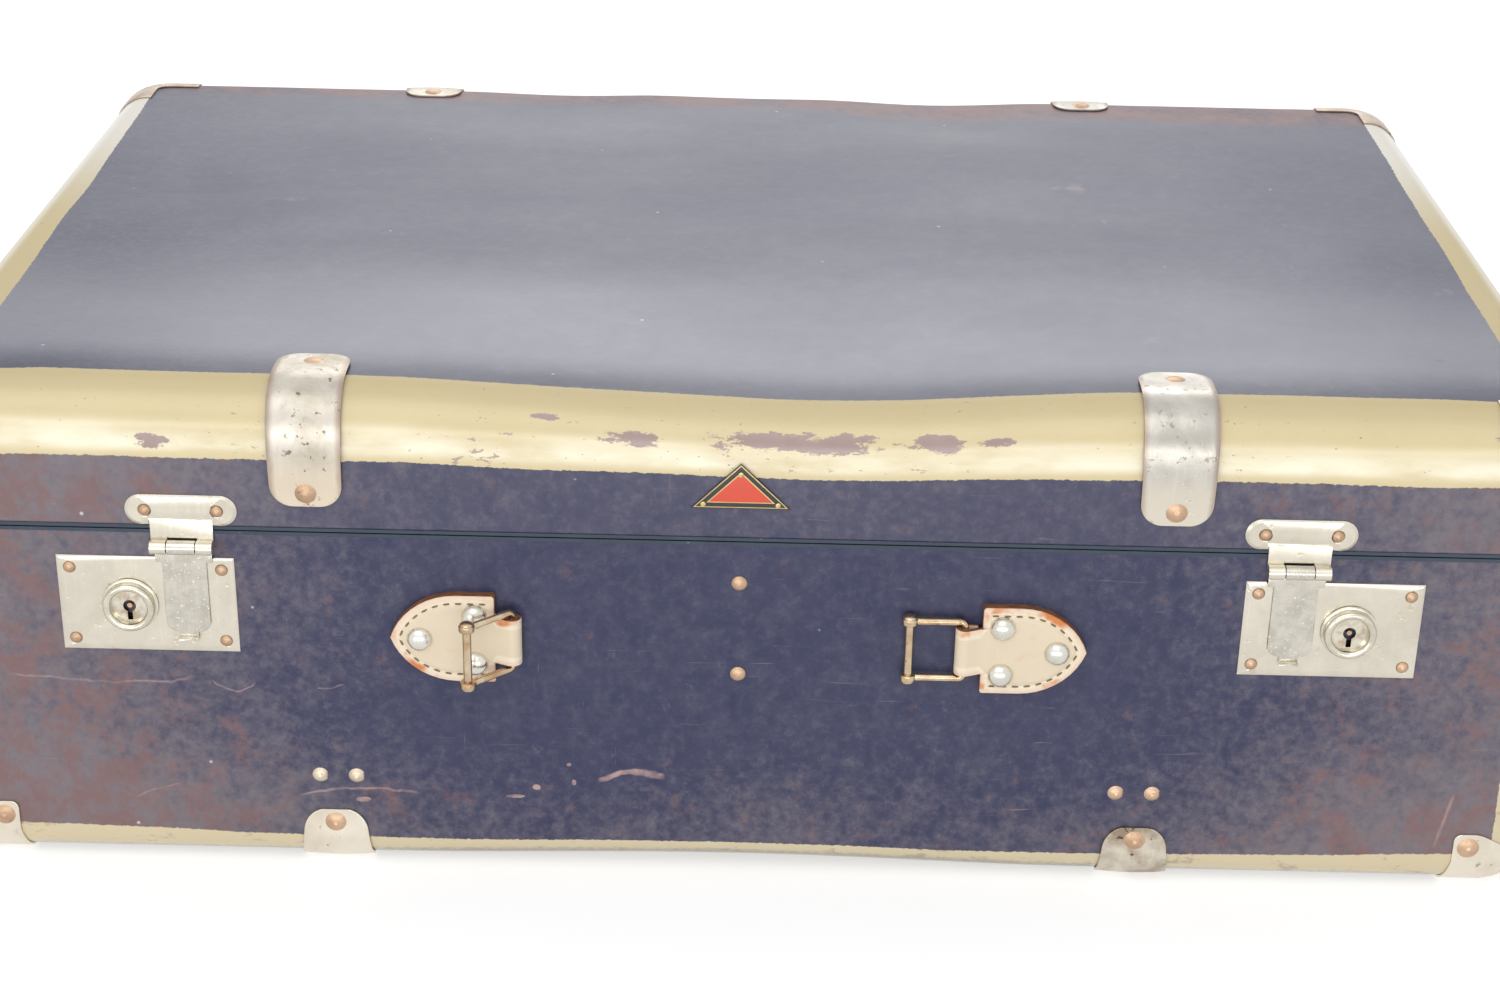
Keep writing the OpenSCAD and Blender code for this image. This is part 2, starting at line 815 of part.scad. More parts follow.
// T plate on the lid with the two outer knuckles
module hasp_plate(side) {
    lobe_r = hasp_h / 2;
    mid = hasp_mid_w / 2 + swing_clear;
    mid_r = hasp_knuckle_d / 2 + swing_clear;
    color(nickel)
        flip(side)
            on_front()
                difference() {
                    union() {
                        translate([hasp_x, hasp_low + lobe_r, 0])
                            linear_extrude(hasp_t) {
                                square([hasp_w - hasp_h, hasp_h], center = true);
                                for (x = sides)
                                    translate([x * (hasp_w / 2 - lobe_r), 0]) circle(lobe_r);
                            }
                        translate([hasp_x - hasp_stem_w / 2, hasp_pin_z, hasp_stand])
                            cube([hasp_stem_w, hasp_low + lap - hasp_pin_z, hasp_t]);
                        hasp_knuckle(hasp_x - hasp_stem_w / 2, hasp_x + hasp_stem_w / 2);
                    }
                    translate([hasp_x - mid, hasp_pin_z - mid_r, -eps])
                        cube([2 * mid, 2 * mid_r, hasp_axis + mid_r + eps]);
                    hasp_bore();
                    translate([hasp_x, hasp_low + lobe_r, -eps])
                        for (x = sides)
                            translate([x * hasp_rivet_gap / 2, 0, 0])
                                cylinder(d = shank_d + 2 * shank_clear, h = hasp_t + 2 * eps);
                }
}

// Swinging leaf with the middle knuckle, the catch behind it and the lip below
module hasp_leaf(side) {
    leaf_low = hasp_pin_z - leaf_len;
    end_r = leaf_w / 4;
    catch_len = leaf_back + catch_tip;
    lip_out = 1.6;
    color(nickel)
        flip(side)
            on_front()
                difference() {
                    union() {
                        translate([hasp_x, 0, leaf_back])
                            linear_extrude(leaf_t) {
                                translate([-leaf_w / 2, leaf_low + end_r])
                                    square([leaf_w, strip_top - leaf_low - end_r]);
                                translate([-leaf_w / 2 + end_r, leaf_low])
                                    square([leaf_w - 2 * end_r, 2 * end_r]);
                                for (x = sides)
                                    translate([x * (leaf_w / 2 - end_r), leaf_low + end_r]) circle(end_r);
                                translate([-leaf_strip_w / 2, strip_top - leaf_strip_h])
                                    square([leaf_strip_w, leaf_strip_h]);
                                translate([-hasp_mid_w / 2, strip_top - leaf_strip_h])
                                    square([hasp_mid_w, hasp_pin_z - strip_top + leaf_strip_h]);
                                translate([-lip_w / 2, leaf_low - lip_h]) square([lip_w, lip_h + eps]);
                            }
                        translate([hasp_x - lip_w / 2, leaf_low - lip_h, leaf_back])
                            cube([lip_w, leaf_t, leaf_t + lip_out]);
                        translate([hasp_x - catch_w / 2, catch_z - catch_h / 2, leaf_back - catch_len])
                            cube([catch_w, catch_h, catch_len + leaf_t]);
                        hasp_knuckle(hasp_x - hasp_mid_w / 2, hasp_x + hasp_mid_w / 2);
                    }
                    hasp_bore();
                }
}

module hasp_pin(side) {
    color(nickel)
        flip(side)
            on_front()
                translate([hasp_x - hasp_stem_w / 2, hasp_pin_z, hasp_axis])
                    rotate([0, 90, 0]) cylinder(d = hasp_pin_d, h = hasp_stem_w);
}

module hasp_rivets() {
    color(copper)
        at_hasp_rivets() translate([0, 0, hasp_t]) small_rivet(hasp_t + wall_t);
}

// Handle fittings, drawn at +X and mirrored for the left

// Pointed shield with its shoulders towards the buckle
module shield_outline() {
    intersection() {
        translate([shoulder_x, -shield_h / 2]) square([tip_x - shoulder_x, shield_h]);
        union() {
            translate([shoulder_x, -shield_h / 2]) square([shield_straight, shield_h]);
            intersection() {
                translate([point_x, point_r - shield_h / 2]) circle(point_r, $fn = 128);
                translate([point_x, shield_h / 2 - point_r]) circle(point_r, $fn = 128);
            }
        }
    }
}

// Leather shield whose neck loops round the buckle's hinge wire
module handle_tab(side) {
    color(hide)
        flip(side)
            difference() {
                union() {
                    on_front() translate([0, handle_z, 0]) linear_extrude(shield_t) shield_outline();
                    translate([0, front_y, handle_z - neck_h / 2])
                        linear_extrude(neck_h) {
                            translate([buckle_x, -buckle_stand]) circle(loop_r);
                            polygon([
                                [buckle_x, 0], [shoulder_x + eps, 0], [shoulder_x + eps, -shield_t],
                                [shoulder_x, -shield_t], [buckle_x, -2 * loop_r]
                            ]);
                        }
                }
                translate([buckle_x, front_y - buckle_stand, handle_z - neck_h])
                    cylinder(r = bar_bore_r, h = 2 * neck_h);
                at_tab_rivets() shank_hole(eps);
            }
}

module tab_rivets() {
    color(nickel)
        at_tab_rivets()
            translate([0, 0, shield_t])
                rivet(dome_d, dome_h, shield_t + front_grip + board_t, rivet_d);
}

module board_rivets() {
    color(copper)
        at_board_rivets() copper_rivet(front_grip + board_t);
}

// Stands a buckle on its hinge at its own resting angle, arms along -X before the turn
module at_buckle(side) {
    turn = side < 0 ? left_fold : 0;
    flip(side)
        translate([buckle_x, front_y - buckle_stand, handle_z]) rotate([0, 0, turn]) children();
}

// Wire frame: hinge wire, two bends, two arms and their eyes
module buckle_frame(side) {
    wire_r = buckle_wire_d / 2;
    color(nickel)
        at_buckle(side)
            difference() {
                union() {
                    translate([0, 0, buckle_bend - arm_z])
                        cylinder(r = wire_r, h = 2 * (arm_z - buckle_bend));
                    for (z = sides)
                        mirror([0, 0, z < 0 ? 1 : 0]) {
                            translate([-buckle_bend, 0, arm_z - buckle_bend])
                                rotate([90, 0, 0])
                                    rotate_extrude(angle = 90) translate([buckle_bend, 0]) circle(wire_r);
                            translate([-buckle_len, 0, arm_z])
                                rotate([0, 90, 0]) cylinder(r = wire_r, h = buckle_len - buckle_bend);
                            translate([-buckle_len, 0, arm_z - wire_r])
                                cylinder(r = eye_r, h = buckle_wire_d);
                        }
                }
                translate([-buckle_len, 0, -2 * arm_z])
                    cylinder(d = cross_bar_d + 2 * shank_clear, h = 4 * arm_z);
            }
}

// Cross bar for the handle, with a round head at each end
module buckle_bar(side) {
    head_r = eye_r - head_margin;
    head_h = 1.2;
    reach = arm_z + buckle_wire_d / 2;
    color(nickel)
        at_buckle(side)
            translate([-buckle_len, 0, 0]) {
                translate([0, 0, -reach]) cylinder(d = cross_bar_d, h = 2 * reach);
                for (z = sides)
                    mirror([0, 0, z < 0 ? 1 : 0])
                        translate([0, 0, reach]) cylinder(r = head_r, h = head_h);
            }
}

// Packing straps, drawn at +X and mirrored for the left

module packing_strap(side) {
    run = case_d / 2 - strap_in;
    roll = base_roll - strap_in;
    low = floor_z + strap_in;
    color(webbing)
        difference() {
            flip(side)
                translate([strap_x - strap_w / 2, case_y, low])
                    for (y = sides)
                        mirror([0, y < 0 ? 1 : 0, 0])
                            translate([0, -run, 0])
                                rotate([90, 0, 90])
                                    linear_extrude(strap_w)
                                        edge_profile(strap_top - low, run, roll, strap_t);
            at_strap_rivets() shank_hole(strap_in + strap_t + eps);
            at_foot_wall_rivets() tail_room();
            at_foot_floor_rivets() rotate([180, 0, 0]) tail_room();
        }
}

module strap_buckles() {
    bar = strap_buckle_bar;
    outer = [strap_w + 3 * bar, strap_buckle_len];
    color(nickel)
        for (side = sides)
            translate([side * strap_x, case_y, floor_z + strap_in + strap_t + glue])
                linear_extrude(strap_buckle_t) {
                    difference() {
                        square(outer, center = true);
                        square([outer[0] - 2 * bar, outer[1] - 2 * bar], center = true);
                    }
                    square([outer[0] - bar, bar], center = true);
                }
}

module strap_rivets() {
    color(copper)
        at_strap_rivets() copper_rivet(strap_in + strap_t);
}

// Clamps

// Section of a clamp: a strap round a rolled edge, from the wall on to the flat face
module clamp_profile(roll, wall_reach, flat_reach) {
    translate([-clamp_t, roll]) square([clamp_t, wall_reach - roll]);
    intersection() {
        translate([roll, roll])
            difference() {
                circle(roll + clamp_t);
                circle(roll);
            }
        translate([-clamp_t, -clamp_t]) square([roll + clamp_t, roll + clamp_t]);
    }
    translate([roll, -clamp_t]) square([flat_reach - roll, clamp_t]);
}

// What is cut off a strap's end to round it: the end is at y = 0 and the strap lies below
module end_trim() {
    translate([0, -clamp_end_r])
        difference() {
            translate([-clamp_w, 0]) square([2 * clamp_w, 2 * clamp_end_r]);
            translate([-clamp_w / 2 + clamp_end_r, 0])
                square([clamp_w - 2 * clamp_end_r, clamp_end_r]);
            for (x = sides)
                translate([x * (clamp_w / 2 - clamp_end_r), 0]) circle(clamp_end_r);
        }
}

// Clamp at the middle of an edge: its wall is y = 0, its flat face z = 0 and the case above and behind
module clamp(roll, wall_reach, flat_reach) {
    cut = 4 * clamp_t;
    difference() {
        translate([-clamp_w / 2, 0, 0])
            rotate([90, 0, 90]) linear_extrude(clamp_w) clamp_profile(roll, wall_reach, flat_reach);
        translate([0, cut / 2, wall_reach]) rotate([90, 0, 0]) linear_extrude(cut) end_trim();
        translate([0, flat_reach, -cut / 2]) linear_extrude(cut) end_trim();
        translate([0, 0, wall_reach - clamp_rivet_inset])
            rotate([90, 0, 0]) cylinder(d = shank_d + 2 * shank_clear, h = cut, center = true);
        translate([0, flat_reach - clamp_rivet_inset, 0])
            cylinder(d = shank_d + 2 * shank_clear, h = cut, center = true);
    }
}

// Turns the front to the rear
module at_edge(end) {
    translate([0, case_y, 0]) mirror([0, end < 0 ? 0 : 1, 0]) translate([0, -case_d / 2, 0]) children();
}

module lid_clamp(side, end) {
    top_reach = end < 0 ? lid_clamp_top : rear_clamp_top;
    color(nickel)
        translate([side * lid_clamp_x, 0, lid_top])
            mirror([0, 0, 1]) at_edge(end) clamp(lid_roll, lid_clamp_wall, top_reach);
}

module foot_clamp(side, end) {
    color(nickel)
        translate([side * foot_clamp_x, 0, floor_z])
            at_edge(end) clamp(base_roll, foot_clamp_wall - floor_z, foot_clamp_floor);
}

// Corner caps

module cap_profile(roll, height) {
    translate([-cap_t, roll]) square([cap_t, height - roll]);
    intersection() {
        translate([roll, roll])
            difference() {
                circle(roll + cap_t);
                circle(roll);
            }
        translate([-cap_t, -cap_t]) square([roll + cap_t, roll + cap_t]);
    }
    translate([roll, -cap_t]) square([(corner_r - roll) * 0.8, cap_t]);
}

// Cap on the corner at +X +Y, whose flat face is z = 0 and whose case lies above
module corner_cap(roll, rivet_z) {
    height = roll + cap_ear;
    run = cap_len - corner_r;
    hole_in = cap_rivet_inset - cap_len;
    difference() {
        union() {
            translate([-corner_r, -corner_r, 0])
                rotate_extrude(angle = 90)
                    translate([corner_r, 0]) mirror([1, 0]) cap_profile(roll, height);
            translate([-cap_len, 0, 0])
                mirror([0, 1, 0]) rotate([90, 0, 90]) linear_extrude(run) cap_profile(roll, height);
            translate([0, -corner_r, 0])
                mirror([1, 0, 0]) rotate([90, 0, 0]) linear_extrude(run) cap_profile(roll, height);
        }
        translate([-corner_r, -corner_r, height + eps])
            rotate([0, 90, 45]) cylinder(r = cap_scallop, h = 2 * corner_r);
        translate([hole_in, 0, rivet_z]) rotate([-90, 0, 0]) shank_hole(eps);
        translate([0, hole_in, rivet_z]) rotate([0, 90, 0]) shank_hole(eps);
    }
}

module at_corners() {
    translate([0, case_y, 0])
        for (x = sides, y = sides)
            mirror([x < 0 ? 1 : 0, 0, 0])
                mirror([0, y < 0 ? 1 : 0, 0])
                    translate([case_w / 2, case_d / 2, 0]) children();
}

module base_corner_caps() {
    color(nickel)
        translate([0, 0, floor_z]) at_corners() corner_cap(base_roll, base_roll + cap_rivet_rise);
}

module lid_corner_caps() {
    color(nickel)
        translate([0, 0, lid_top])
            mirror([0, 0, 1]) at_corners() corner_cap(lid_roll, lid_roll + cap_rivet_rise);
}

// Small rivets of the clamps, caps and hinges

module base_rivets() {
    color(copper) {
        at_foot_wall_rivets() translate([0, 0, clamp_t]) copper_rivet(clamp_t + front_grip);
        at_foot_floor_rivets() flush_rivet();
        at_cap_rivets(base_cap_rivet_z) translate([0, 0, cap_t]) copper_rivet(cap_t + front_grip);
        at_hinge_rivets(-1) translate([0, 0, hinge_t]) copper_rivet(hinge_t + wall_t);
    }
}

module lid_rivets() {
    color(copper) {
        at_lid_wall_rivets() translate([0, 0, clamp_t]) copper_rivet(clamp_t + front_grip);
        at_lid_top_rivets() translate([0, 0, clamp_t]) copper_rivet(clamp_t + front_grip);
        at_cap_rivets(lid_cap_rivet_z) translate([0, 0, cap_t]) copper_rivet(cap_t + front_grip);
        at_hinge_rivets(1) translate([0, 0, hinge_t]) copper_rivet(hinge_t + wall_t);
    }
}

// Rivet of a foot clamp, cut flush with its underside and headed inside
module flush_rivet() {
    below = 0.1;
    translate([0, 0, below - clamp_t])
        cylinder(d = shank_d, h = clamp_t - below + front_grip + tail_h / 2);
    translate([0, 0, front_grip]) cylinder(d = rivet_d - tail_trim, h = tail_h);
}

// Room for a rivet's tail in what covers it
module tail_room() {
    depth = 2 * hole_reach;
    translate([0, 0, -depth]) cylinder(d = rivet_d, h = depth - wall_t + 0.01);
}

// Hinges

module hinge_knuckle(x0, x1) {
    translate([x0, base_h, hinge_stand]) rotate([0, 90, 0]) cylinder(d = hinge_knuckle_d, h = x1 - x0);
}

module hinge_bore() {
    translate([-hinge_w, base_h, hinge_stand])
        rotate([0, 90, 0]) cylinder(d = hinge_pin_d + 2 * pin_clear, h = 2 * hinge_w);
}

// Leaf below (way -1) or above (way 1) the pin, centred on x = 0
module hinge_leaf(way) {
    foot = hinge_knuckle_d / 2 + hinge_clear;
    low = way < 0 ? -hinge_leaf_h : foot;
    difference() {
        translate([-hinge_w / 2, base_h + low, 0]) cube([hinge_w, hinge_leaf_h - foot, hinge_t]);
        for (x = sides)
            translate([x * hinge_rivet_gap / 2, base_h + way * hinge_rivet_rise, -eps])
                cylinder(d = shank_d + 2 * shank_clear, h = hinge_t + 2 * eps);
    }
}

// Neck that joins a leaf to its knuckle, clear of the other half's edge binding
module hinge_neck(way, x0, x1) {
    stand = rim_proud + swing_clear;
    reach = hinge_knuckle_d / 2 + hinge_clear + lap;
    low = way < 0 ? -reach : 0;
    translate([x0, base_h + low, stand]) cube([x1 - x0, reach, hinge_t]);
}

module hinge_base_leaves() {
    mid = hinge_mid_w / 2 + hinge_clear;
    color(nickel)
        on_rear()
            for (side = sides)
                translate([side * hinge_x, 0, 0])
                    difference() {
                        union() {
                            hinge_leaf(-1);
                            for (x = sides)
                                flip(x) {
                                    hinge_knuckle(mid, hinge_w / 2);
                                    hinge_neck(-1, mid, hinge_w / 2);
                                }
                        }
                        hinge_bore();
                    }
}

module hinge_lid_leaves() {
    mid = hinge_mid_w / 2;
    color(nickel)
        on_rear()
            for (side = sides)
                translate([side * hinge_x, 0, 0])
                    difference() {
                        union() {
                            hinge_leaf(1);
                            hinge_knuckle(-mid, mid);
                            hinge_neck(1, -mid, mid);
                        }
                        hinge_bore();
                    }
}

module hinge_pins() {
    color(nickel)
        on_rear()
            for (side = sides)
                translate([side * hinge_x - hinge_w / 2, base_h, hinge_stand])
                    rotate([0, 90, 0]) cylinder(d = hinge_pin_d, h = hinge_w);
}

// Small triangular plate on the lid's front

badge_low = base_h + badge_rise;
nail_d = 1.2;
nail_in = 1.8;
nail_len = 2.2;
nail_side = badge_w / 2 - 2.6 * nail_in;
nail_top = badge_h - 2.4 * nail_in;
nail_places = [[0, nail_top], [nail_side, nail_in], [-nail_side, nail_in]];

module at_badge_nails() {
    on_front()
        for (place = nail_places)
            translate([place[0], badge_low + place[1], 0]) children();
}

module nail_hole() {
    translate([0, 0, -nail_len - 2 * shank_clear])
        cylinder(d = nail_d + 2 * shank_clear, h = nail_len + 2 * eps);
}

module badge_plate() {
    color("firebrick")
        difference() {
            on_front()
                translate([0, badge_low, 0])
                    linear_extrude(badge_t)
                        polygon([[-badge_w / 2, 0], [badge_w / 2, 0], [0, badge_h]]);
            at_badge_nails() nail_hole();
        }
}

module badge_nails() {
    head_d = 2;
    head_h = 0.7;
    color(copper)
        at_badge_nails()
            translate([0, 0, badge_t])
                rotate_extrude() {
                    square([head_d / 2, head_h]);
                    translate([0, -badge_t - nail_len])
                        square([nail_d / 2, badge_t + nail_len + head_h / 2]);
                }
}

base_shell();
base_lining();
base_frame();
base_rim();
handle_board();
lid_shell();
lid_lining();
lid_rim();
lock_plate(-1);  // lock_plate_left
lock_plate(1);  // lock_plate_right
lock_case(-1);  // lock_case_left
lock_case(1);  // lock_case_right
lock_knob(-1);  // lock_knob_left
lock_knob(1);  // lock_knob_right
lock_latch(-1);  // lock_latch_left
lock_latch(1);  // lock_latch_right
lock_spring(-1);  // lock_spring_left
lock_spring(1);  // lock_spring_right
lock_rivets();
hasp_plate(-1);  // hasp_plate_left
hasp_plate(1);  // hasp_plate_right
hasp_leaf(-1);  // hasp_leaf_left
hasp_leaf(1);  // hasp_leaf_right
hasp_pin(-1);  // hasp_pin_left
hasp_pin(1);  // hasp_pin_right
hasp_rivets();
handle_tab(-1);  // handle_tab_left
handle_tab(1);  // handle_tab_right
tab_rivets();
board_rivets();
buckle_frame(-1);  // buckle_frame_left
buckle_frame(1);  // buckle_frame_right
buckle_bar(-1);  // buckle_bar_left
buckle_bar(1);  // buckle_bar_right
packing_strap(-1);  // packing_strap_left
packing_strap(1);  // packing_strap_right
strap_buckles();
strap_rivets();
lid_clamp(-1, -1);  // lid_clamp_front_left
lid_clamp(1, -1);  // lid_clamp_front_right
lid_clamp(-1, 1);  // lid_clamp_rear_left
lid_clamp(1, 1);  // lid_clamp_rear_right
foot_clamp(-1, -1);  // foot_clamp_front_left
foot_clamp(1, -1);  // foot_clamp_front_right
foot_clamp(-1, 1);  // foot_clamp_rear_left
foot_clamp(1, 1);  // foot_clamp_rear_right
base_corner_caps();
lid_corner_caps();
base_rivets();
lid_rivets();
hinge_base_leaves();
hinge_lid_leaves();
hinge_pins();
badge_plate();
badge_nails();
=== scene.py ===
import json
from functools import reduce
from math import asin, cos, exp, pi, radians, sin, sqrt
from operator import or_

import bmesh
import bpy
from mathutils import Matrix, Vector, noise


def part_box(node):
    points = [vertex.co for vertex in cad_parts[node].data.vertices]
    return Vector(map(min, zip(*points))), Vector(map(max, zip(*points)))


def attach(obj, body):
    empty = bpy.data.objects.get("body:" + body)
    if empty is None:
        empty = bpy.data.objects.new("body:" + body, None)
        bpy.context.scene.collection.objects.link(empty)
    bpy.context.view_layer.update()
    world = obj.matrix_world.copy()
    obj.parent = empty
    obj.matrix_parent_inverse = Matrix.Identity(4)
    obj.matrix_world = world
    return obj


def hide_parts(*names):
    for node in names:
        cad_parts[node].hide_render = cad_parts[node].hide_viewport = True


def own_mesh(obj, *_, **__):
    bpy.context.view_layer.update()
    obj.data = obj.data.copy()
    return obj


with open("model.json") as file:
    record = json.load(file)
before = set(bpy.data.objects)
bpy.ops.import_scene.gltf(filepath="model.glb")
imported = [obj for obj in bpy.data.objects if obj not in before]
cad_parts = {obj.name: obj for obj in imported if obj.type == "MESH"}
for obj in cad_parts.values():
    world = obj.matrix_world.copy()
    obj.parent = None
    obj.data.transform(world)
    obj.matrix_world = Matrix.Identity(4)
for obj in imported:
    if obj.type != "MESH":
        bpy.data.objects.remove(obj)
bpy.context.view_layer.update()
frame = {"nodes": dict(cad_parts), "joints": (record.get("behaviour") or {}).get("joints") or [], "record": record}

MM = 0.001
SIDES = {"left": -1, "right": 1}
scene = bpy.context.scene
lid_low, lid_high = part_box("lid_shell")
base_low, base_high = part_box("base_shell")
FRONT, REAR = base_low.y, base_high.y
MID_Y = (FRONT + REAR) / 2
TOP = lid_high.z
WALL, CORNER, LID_ROLL, BASE_ROLL = 2.6 * MM, 24 * MM, 16 * MM, 12 * MM
LINING_IN, LINING_T = 3.0 * MM, 0.5 * MM
LID_CLAMP_X, FOOT_CLAMP_X, STRAP_X = 166 * MM, 161.5 * MM, 159.6 * MM
KNOB_X, KNOB_Z = 236.9 * MM, 117.5 * MM
WELD = 2e-6


# Camera, light and floor

def place_camera():
    place = Vector((0.0104, -1.1137, 0.5911))
    yaw, pitch, roll = radians(-0.4336), radians(24.9377), radians(1.10386)
    ahead = Vector((sin(yaw) * cos(pitch), cos(yaw) * cos(pitch), -sin(pitch)))
    level = Vector((cos(yaw), -sin(yaw), 0))
    raised = level.cross(ahead)
    right = cos(roll) * level + sin(roll) * raised
    up = cos(roll) * raised - sin(roll) * level
    lens = bpy.data.cameras.new("camera")
    lens.sensor_width, lens.lens = 36, 63.25
    camera = bpy.data.objects.new("camera", lens)
    turn = Matrix((right, up, -ahead)).transposed().to_4x4()
    camera.matrix_world = Matrix.Translation(place) @ turn
    scene.collection.objects.link(camera)
    scene.camera = camera


def soft_lamp(name, place, target, width, height, watts):
    lamp = bpy.data.lights.new(name, "AREA")
    lamp.shape = "RECTANGLE"
    lamp.size, lamp.size_y, lamp.energy = width, height, watts
    piece = bpy.data.objects.new(name, lamp)
    piece.location = place
    piece.rotation_euler = (Vector(target) - Vector(place)).to_track_quat("-Z", "Y").to_euler()
    scene.collection.objects.link(piece)


# Shader maths

class Value:
    """A socket whose arithmetic adds Math nodes to its graph."""

    def __init__(self, graph, socket):
        self.graph = graph
        self.socket = socket

    def maths(self, operation, *others):
        sockets = dict(enumerate((self, *others)))
        return self.graph.node("ShaderNodeMath", {"operation": operation}, sockets)

    def __add__(self, other):
        return self.maths("ADD", other)

    def __sub__(self, other):
        return self.maths("SUBTRACT", other)

    def __rsub__(self, other):
        return (self * -1) + other

    def __mul__(self, other):
        return self.maths("MULTIPLY", other)

    def __truediv__(self, other):
        return self.maths("DIVIDE", other)

    def __pow__(self, other):
        return self.maths("POWER", other)

    def __abs__(self):
        return self.maths("ABSOLUTE")

    def __or__(self, other):
        return self.maths("MAXIMUM", other)

    __radd__ = __add__
    __rmul__ = __mul__


def any_of(masks):
    """The greatest of several masks."""
    return reduce(or_, masks)


class Graph:
    """The nodes of a world or a material."""

    def __init__(self, tree):
        self.tree = tree

    def node(self, kind, settings=None, sockets=None, out=0):
        made = self.tree.nodes.new(kind)
        for key, value in (settings or {}).items():
            setattr(made, key, value)
        for key, value in (sockets or {}).items():
            self.put(made.inputs[key], value)
        return Value(self, made.outputs[out])

    def put(self, socket, value):
        if isinstance(value, Value):
            self.tree.links.new(value.socket, socket)
        else:
            socket.default_value = value

    def rays(self, *kinds):
        """One for rays of the named kinds, nought for the rest."""
        outs = self.node("ShaderNodeLightPath").socket.node.outputs
        return any_of([Value(self, outs[kind]) for kind in kinds])


class Finish(Graph):
    """A node material on the Principled shader."""

    def __init__(self, name, **constants):
        self.material = bpy.data.materials.new(name)
        self.material.use_nodes = True
        super().__init__(self.material.node_tree)
        self.shader = self.tree.nodes["Principled BSDF"]
        self.paint(**constants)
        self.place = self.node("ShaderNodeTexCoord", out="Object")

    def paint(self, **inputs):
        for key, value in inputs.items():
            self.put(self.shader.inputs[key.replace("_", " ")], value)
        return self

    def attribute(self, name, out="Vector"):
        return self.node("ShaderNodeAttribute", {"attribute_name": name}, out=out)

    def axes(self, vector):
        outs = self.node("ShaderNodeSeparateXYZ", sockets={0: vector}).socket.node.outputs
        return [Value(self, outs[i]) for i in range(3)]

    def scaled(self, vector, factors, turn=(0, 0, 0)):
        sockets = {"Vector": vector, "Scale": factors, "Rotation": turn}
        return self.node("ShaderNodeMapping", sockets=sockets)

    def noise(self, vector, scale, detail, rough=0.55, warp=0.0):
        return self.node("ShaderNodeTexNoise", sockets={
            "Vector": vector, "Scale": scale, "Detail": detail, "Roughness": rough, "Distortion": warp})

    def cells(self, vector, scale, out="Distance"):
        return self.node("ShaderNodeTexVoronoi", sockets={"Vector": vector, "Scale": scale}, out=out)

    def step(self, value, low, high):
        return self.node("ShaderNodeMapRange", {"interpolation_type": "SMOOTHSTEP"},
                         {"Value": value, "From Min": low, "From Max": high})

    def mix(self, share, first, second):
        def colour(c):
            return c if isinstance(c, Value) else (*c, 1)
        return self.node("ShaderNodeMix", {"data_type": "RGBA"},
                         {0: share, 6: colour(first), 7: colour(second)}, 2)

    def bump(self, height, depth, strength):
        sockets = {"Height": height, "Distance": depth, "Strength": strength}
        return self.node("ShaderNodeBump", sockets=sockets)


def white_room():
    world = bpy.data.worlds.new("white_room")
    world.use_nodes = True
    room = Graph(world.node_tree)
    lit = room.tree.nodes["Background"]
    room.put(lit.inputs["Color"], (1.0, 0.99, 0.97, 1))
    room.put(lit.inputs["Strength"], 0.74)
    shown = room.node("ShaderNodeBackground", sockets={"Color": (1, 1, 1, 1), "Strength": 1.0})
    seen = room.rays("Is Camera Ray", "Is Glossy Ray", "Is Transmission Ray")
    both = room.node("ShaderNodeMixShader", sockets={0: seen, 1: Value(room, lit.outputs[0]), 2: shown})
    room.put(room.tree.nodes["World Output"].inputs["Surface"], both)
    scene.world = world


def white_floor():
    finish = Finish("floor_paper", Roughness=0.9, Specular_IOR_Level=0.1, Emission_Strength=0.58)
    seen = finish.rays("Is Camera Ray")
    mirrored = finish.rays("Is Glossy Ray", "Is Transmission Ray")
    sheet = finish.mix(finish.noise(finish.place, 30, 2), (0.93, 0.93, 0.93), (0.96, 0.96, 0.96))
    finish.paint(Base_Color=finish.mix(seen * 0.36, sheet, (0, 0, 0)),
                 Emission_Color=finish.mix(seen, (0, 0, 0), (1, 1, 1)))
    glow = finish.node("ShaderNodeEmission", sockets={"Color": (1, 1, 1, 1), "Strength": 1.0})
    own = Value(finish, finish.shader.outputs[0])
    both = finish.node("ShaderNodeMixShader", sockets={0: mirrored * 0.75, 1: own, 2: glow})
    finish.put(finish.tree.nodes["Material Output"].inputs["Surface"], both)
    bm = bmesh.new()
    bmesh.ops.create_grid(bm, x_segments=4, y_segments=4, size=6)
    floor = as_object("floor", bm, finish)


# Mesh helpers

def as_object(name, bm, *finishes, smooth=40):
    mesh = bpy.data.meshes.new(name)
    bm.to_mesh(mesh)
    bm.free()
    for finish in finishes:
        mesh.materials.append(finish.material)
    mesh.polygons.foreach_set("use_smooth", [True] * len(mesh.polygons))
    mesh.set_sharp_from_angle(angle=radians(smooth))
    piece = bpy.data.objects.new(name, mesh)
    scene.collection.objects.link(piece)
    return piece


def fit(piece, body, slot, *nodes):
    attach(piece, body)
    if nodes:
        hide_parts(*nodes)
    return piece


def bevel(bm, edges, width, segments, clamp=False):
    bmesh.ops.bevel(bm, geom=edges, offset=width, offset_type="OFFSET", segments=segments,
                    profile=0.5, affect="EDGES", material=-1, clamp_overlap=clamp)


def verts_of(geometry):
    return [part for part in geometry if isinstance(part, bmesh.types.BMVert)]


def front_face(bm):
    """The largest face that looks forward."""
    return max((face for face in bm.faces if face.normal.y < -0.9), key=lambda face: face.calc_area())


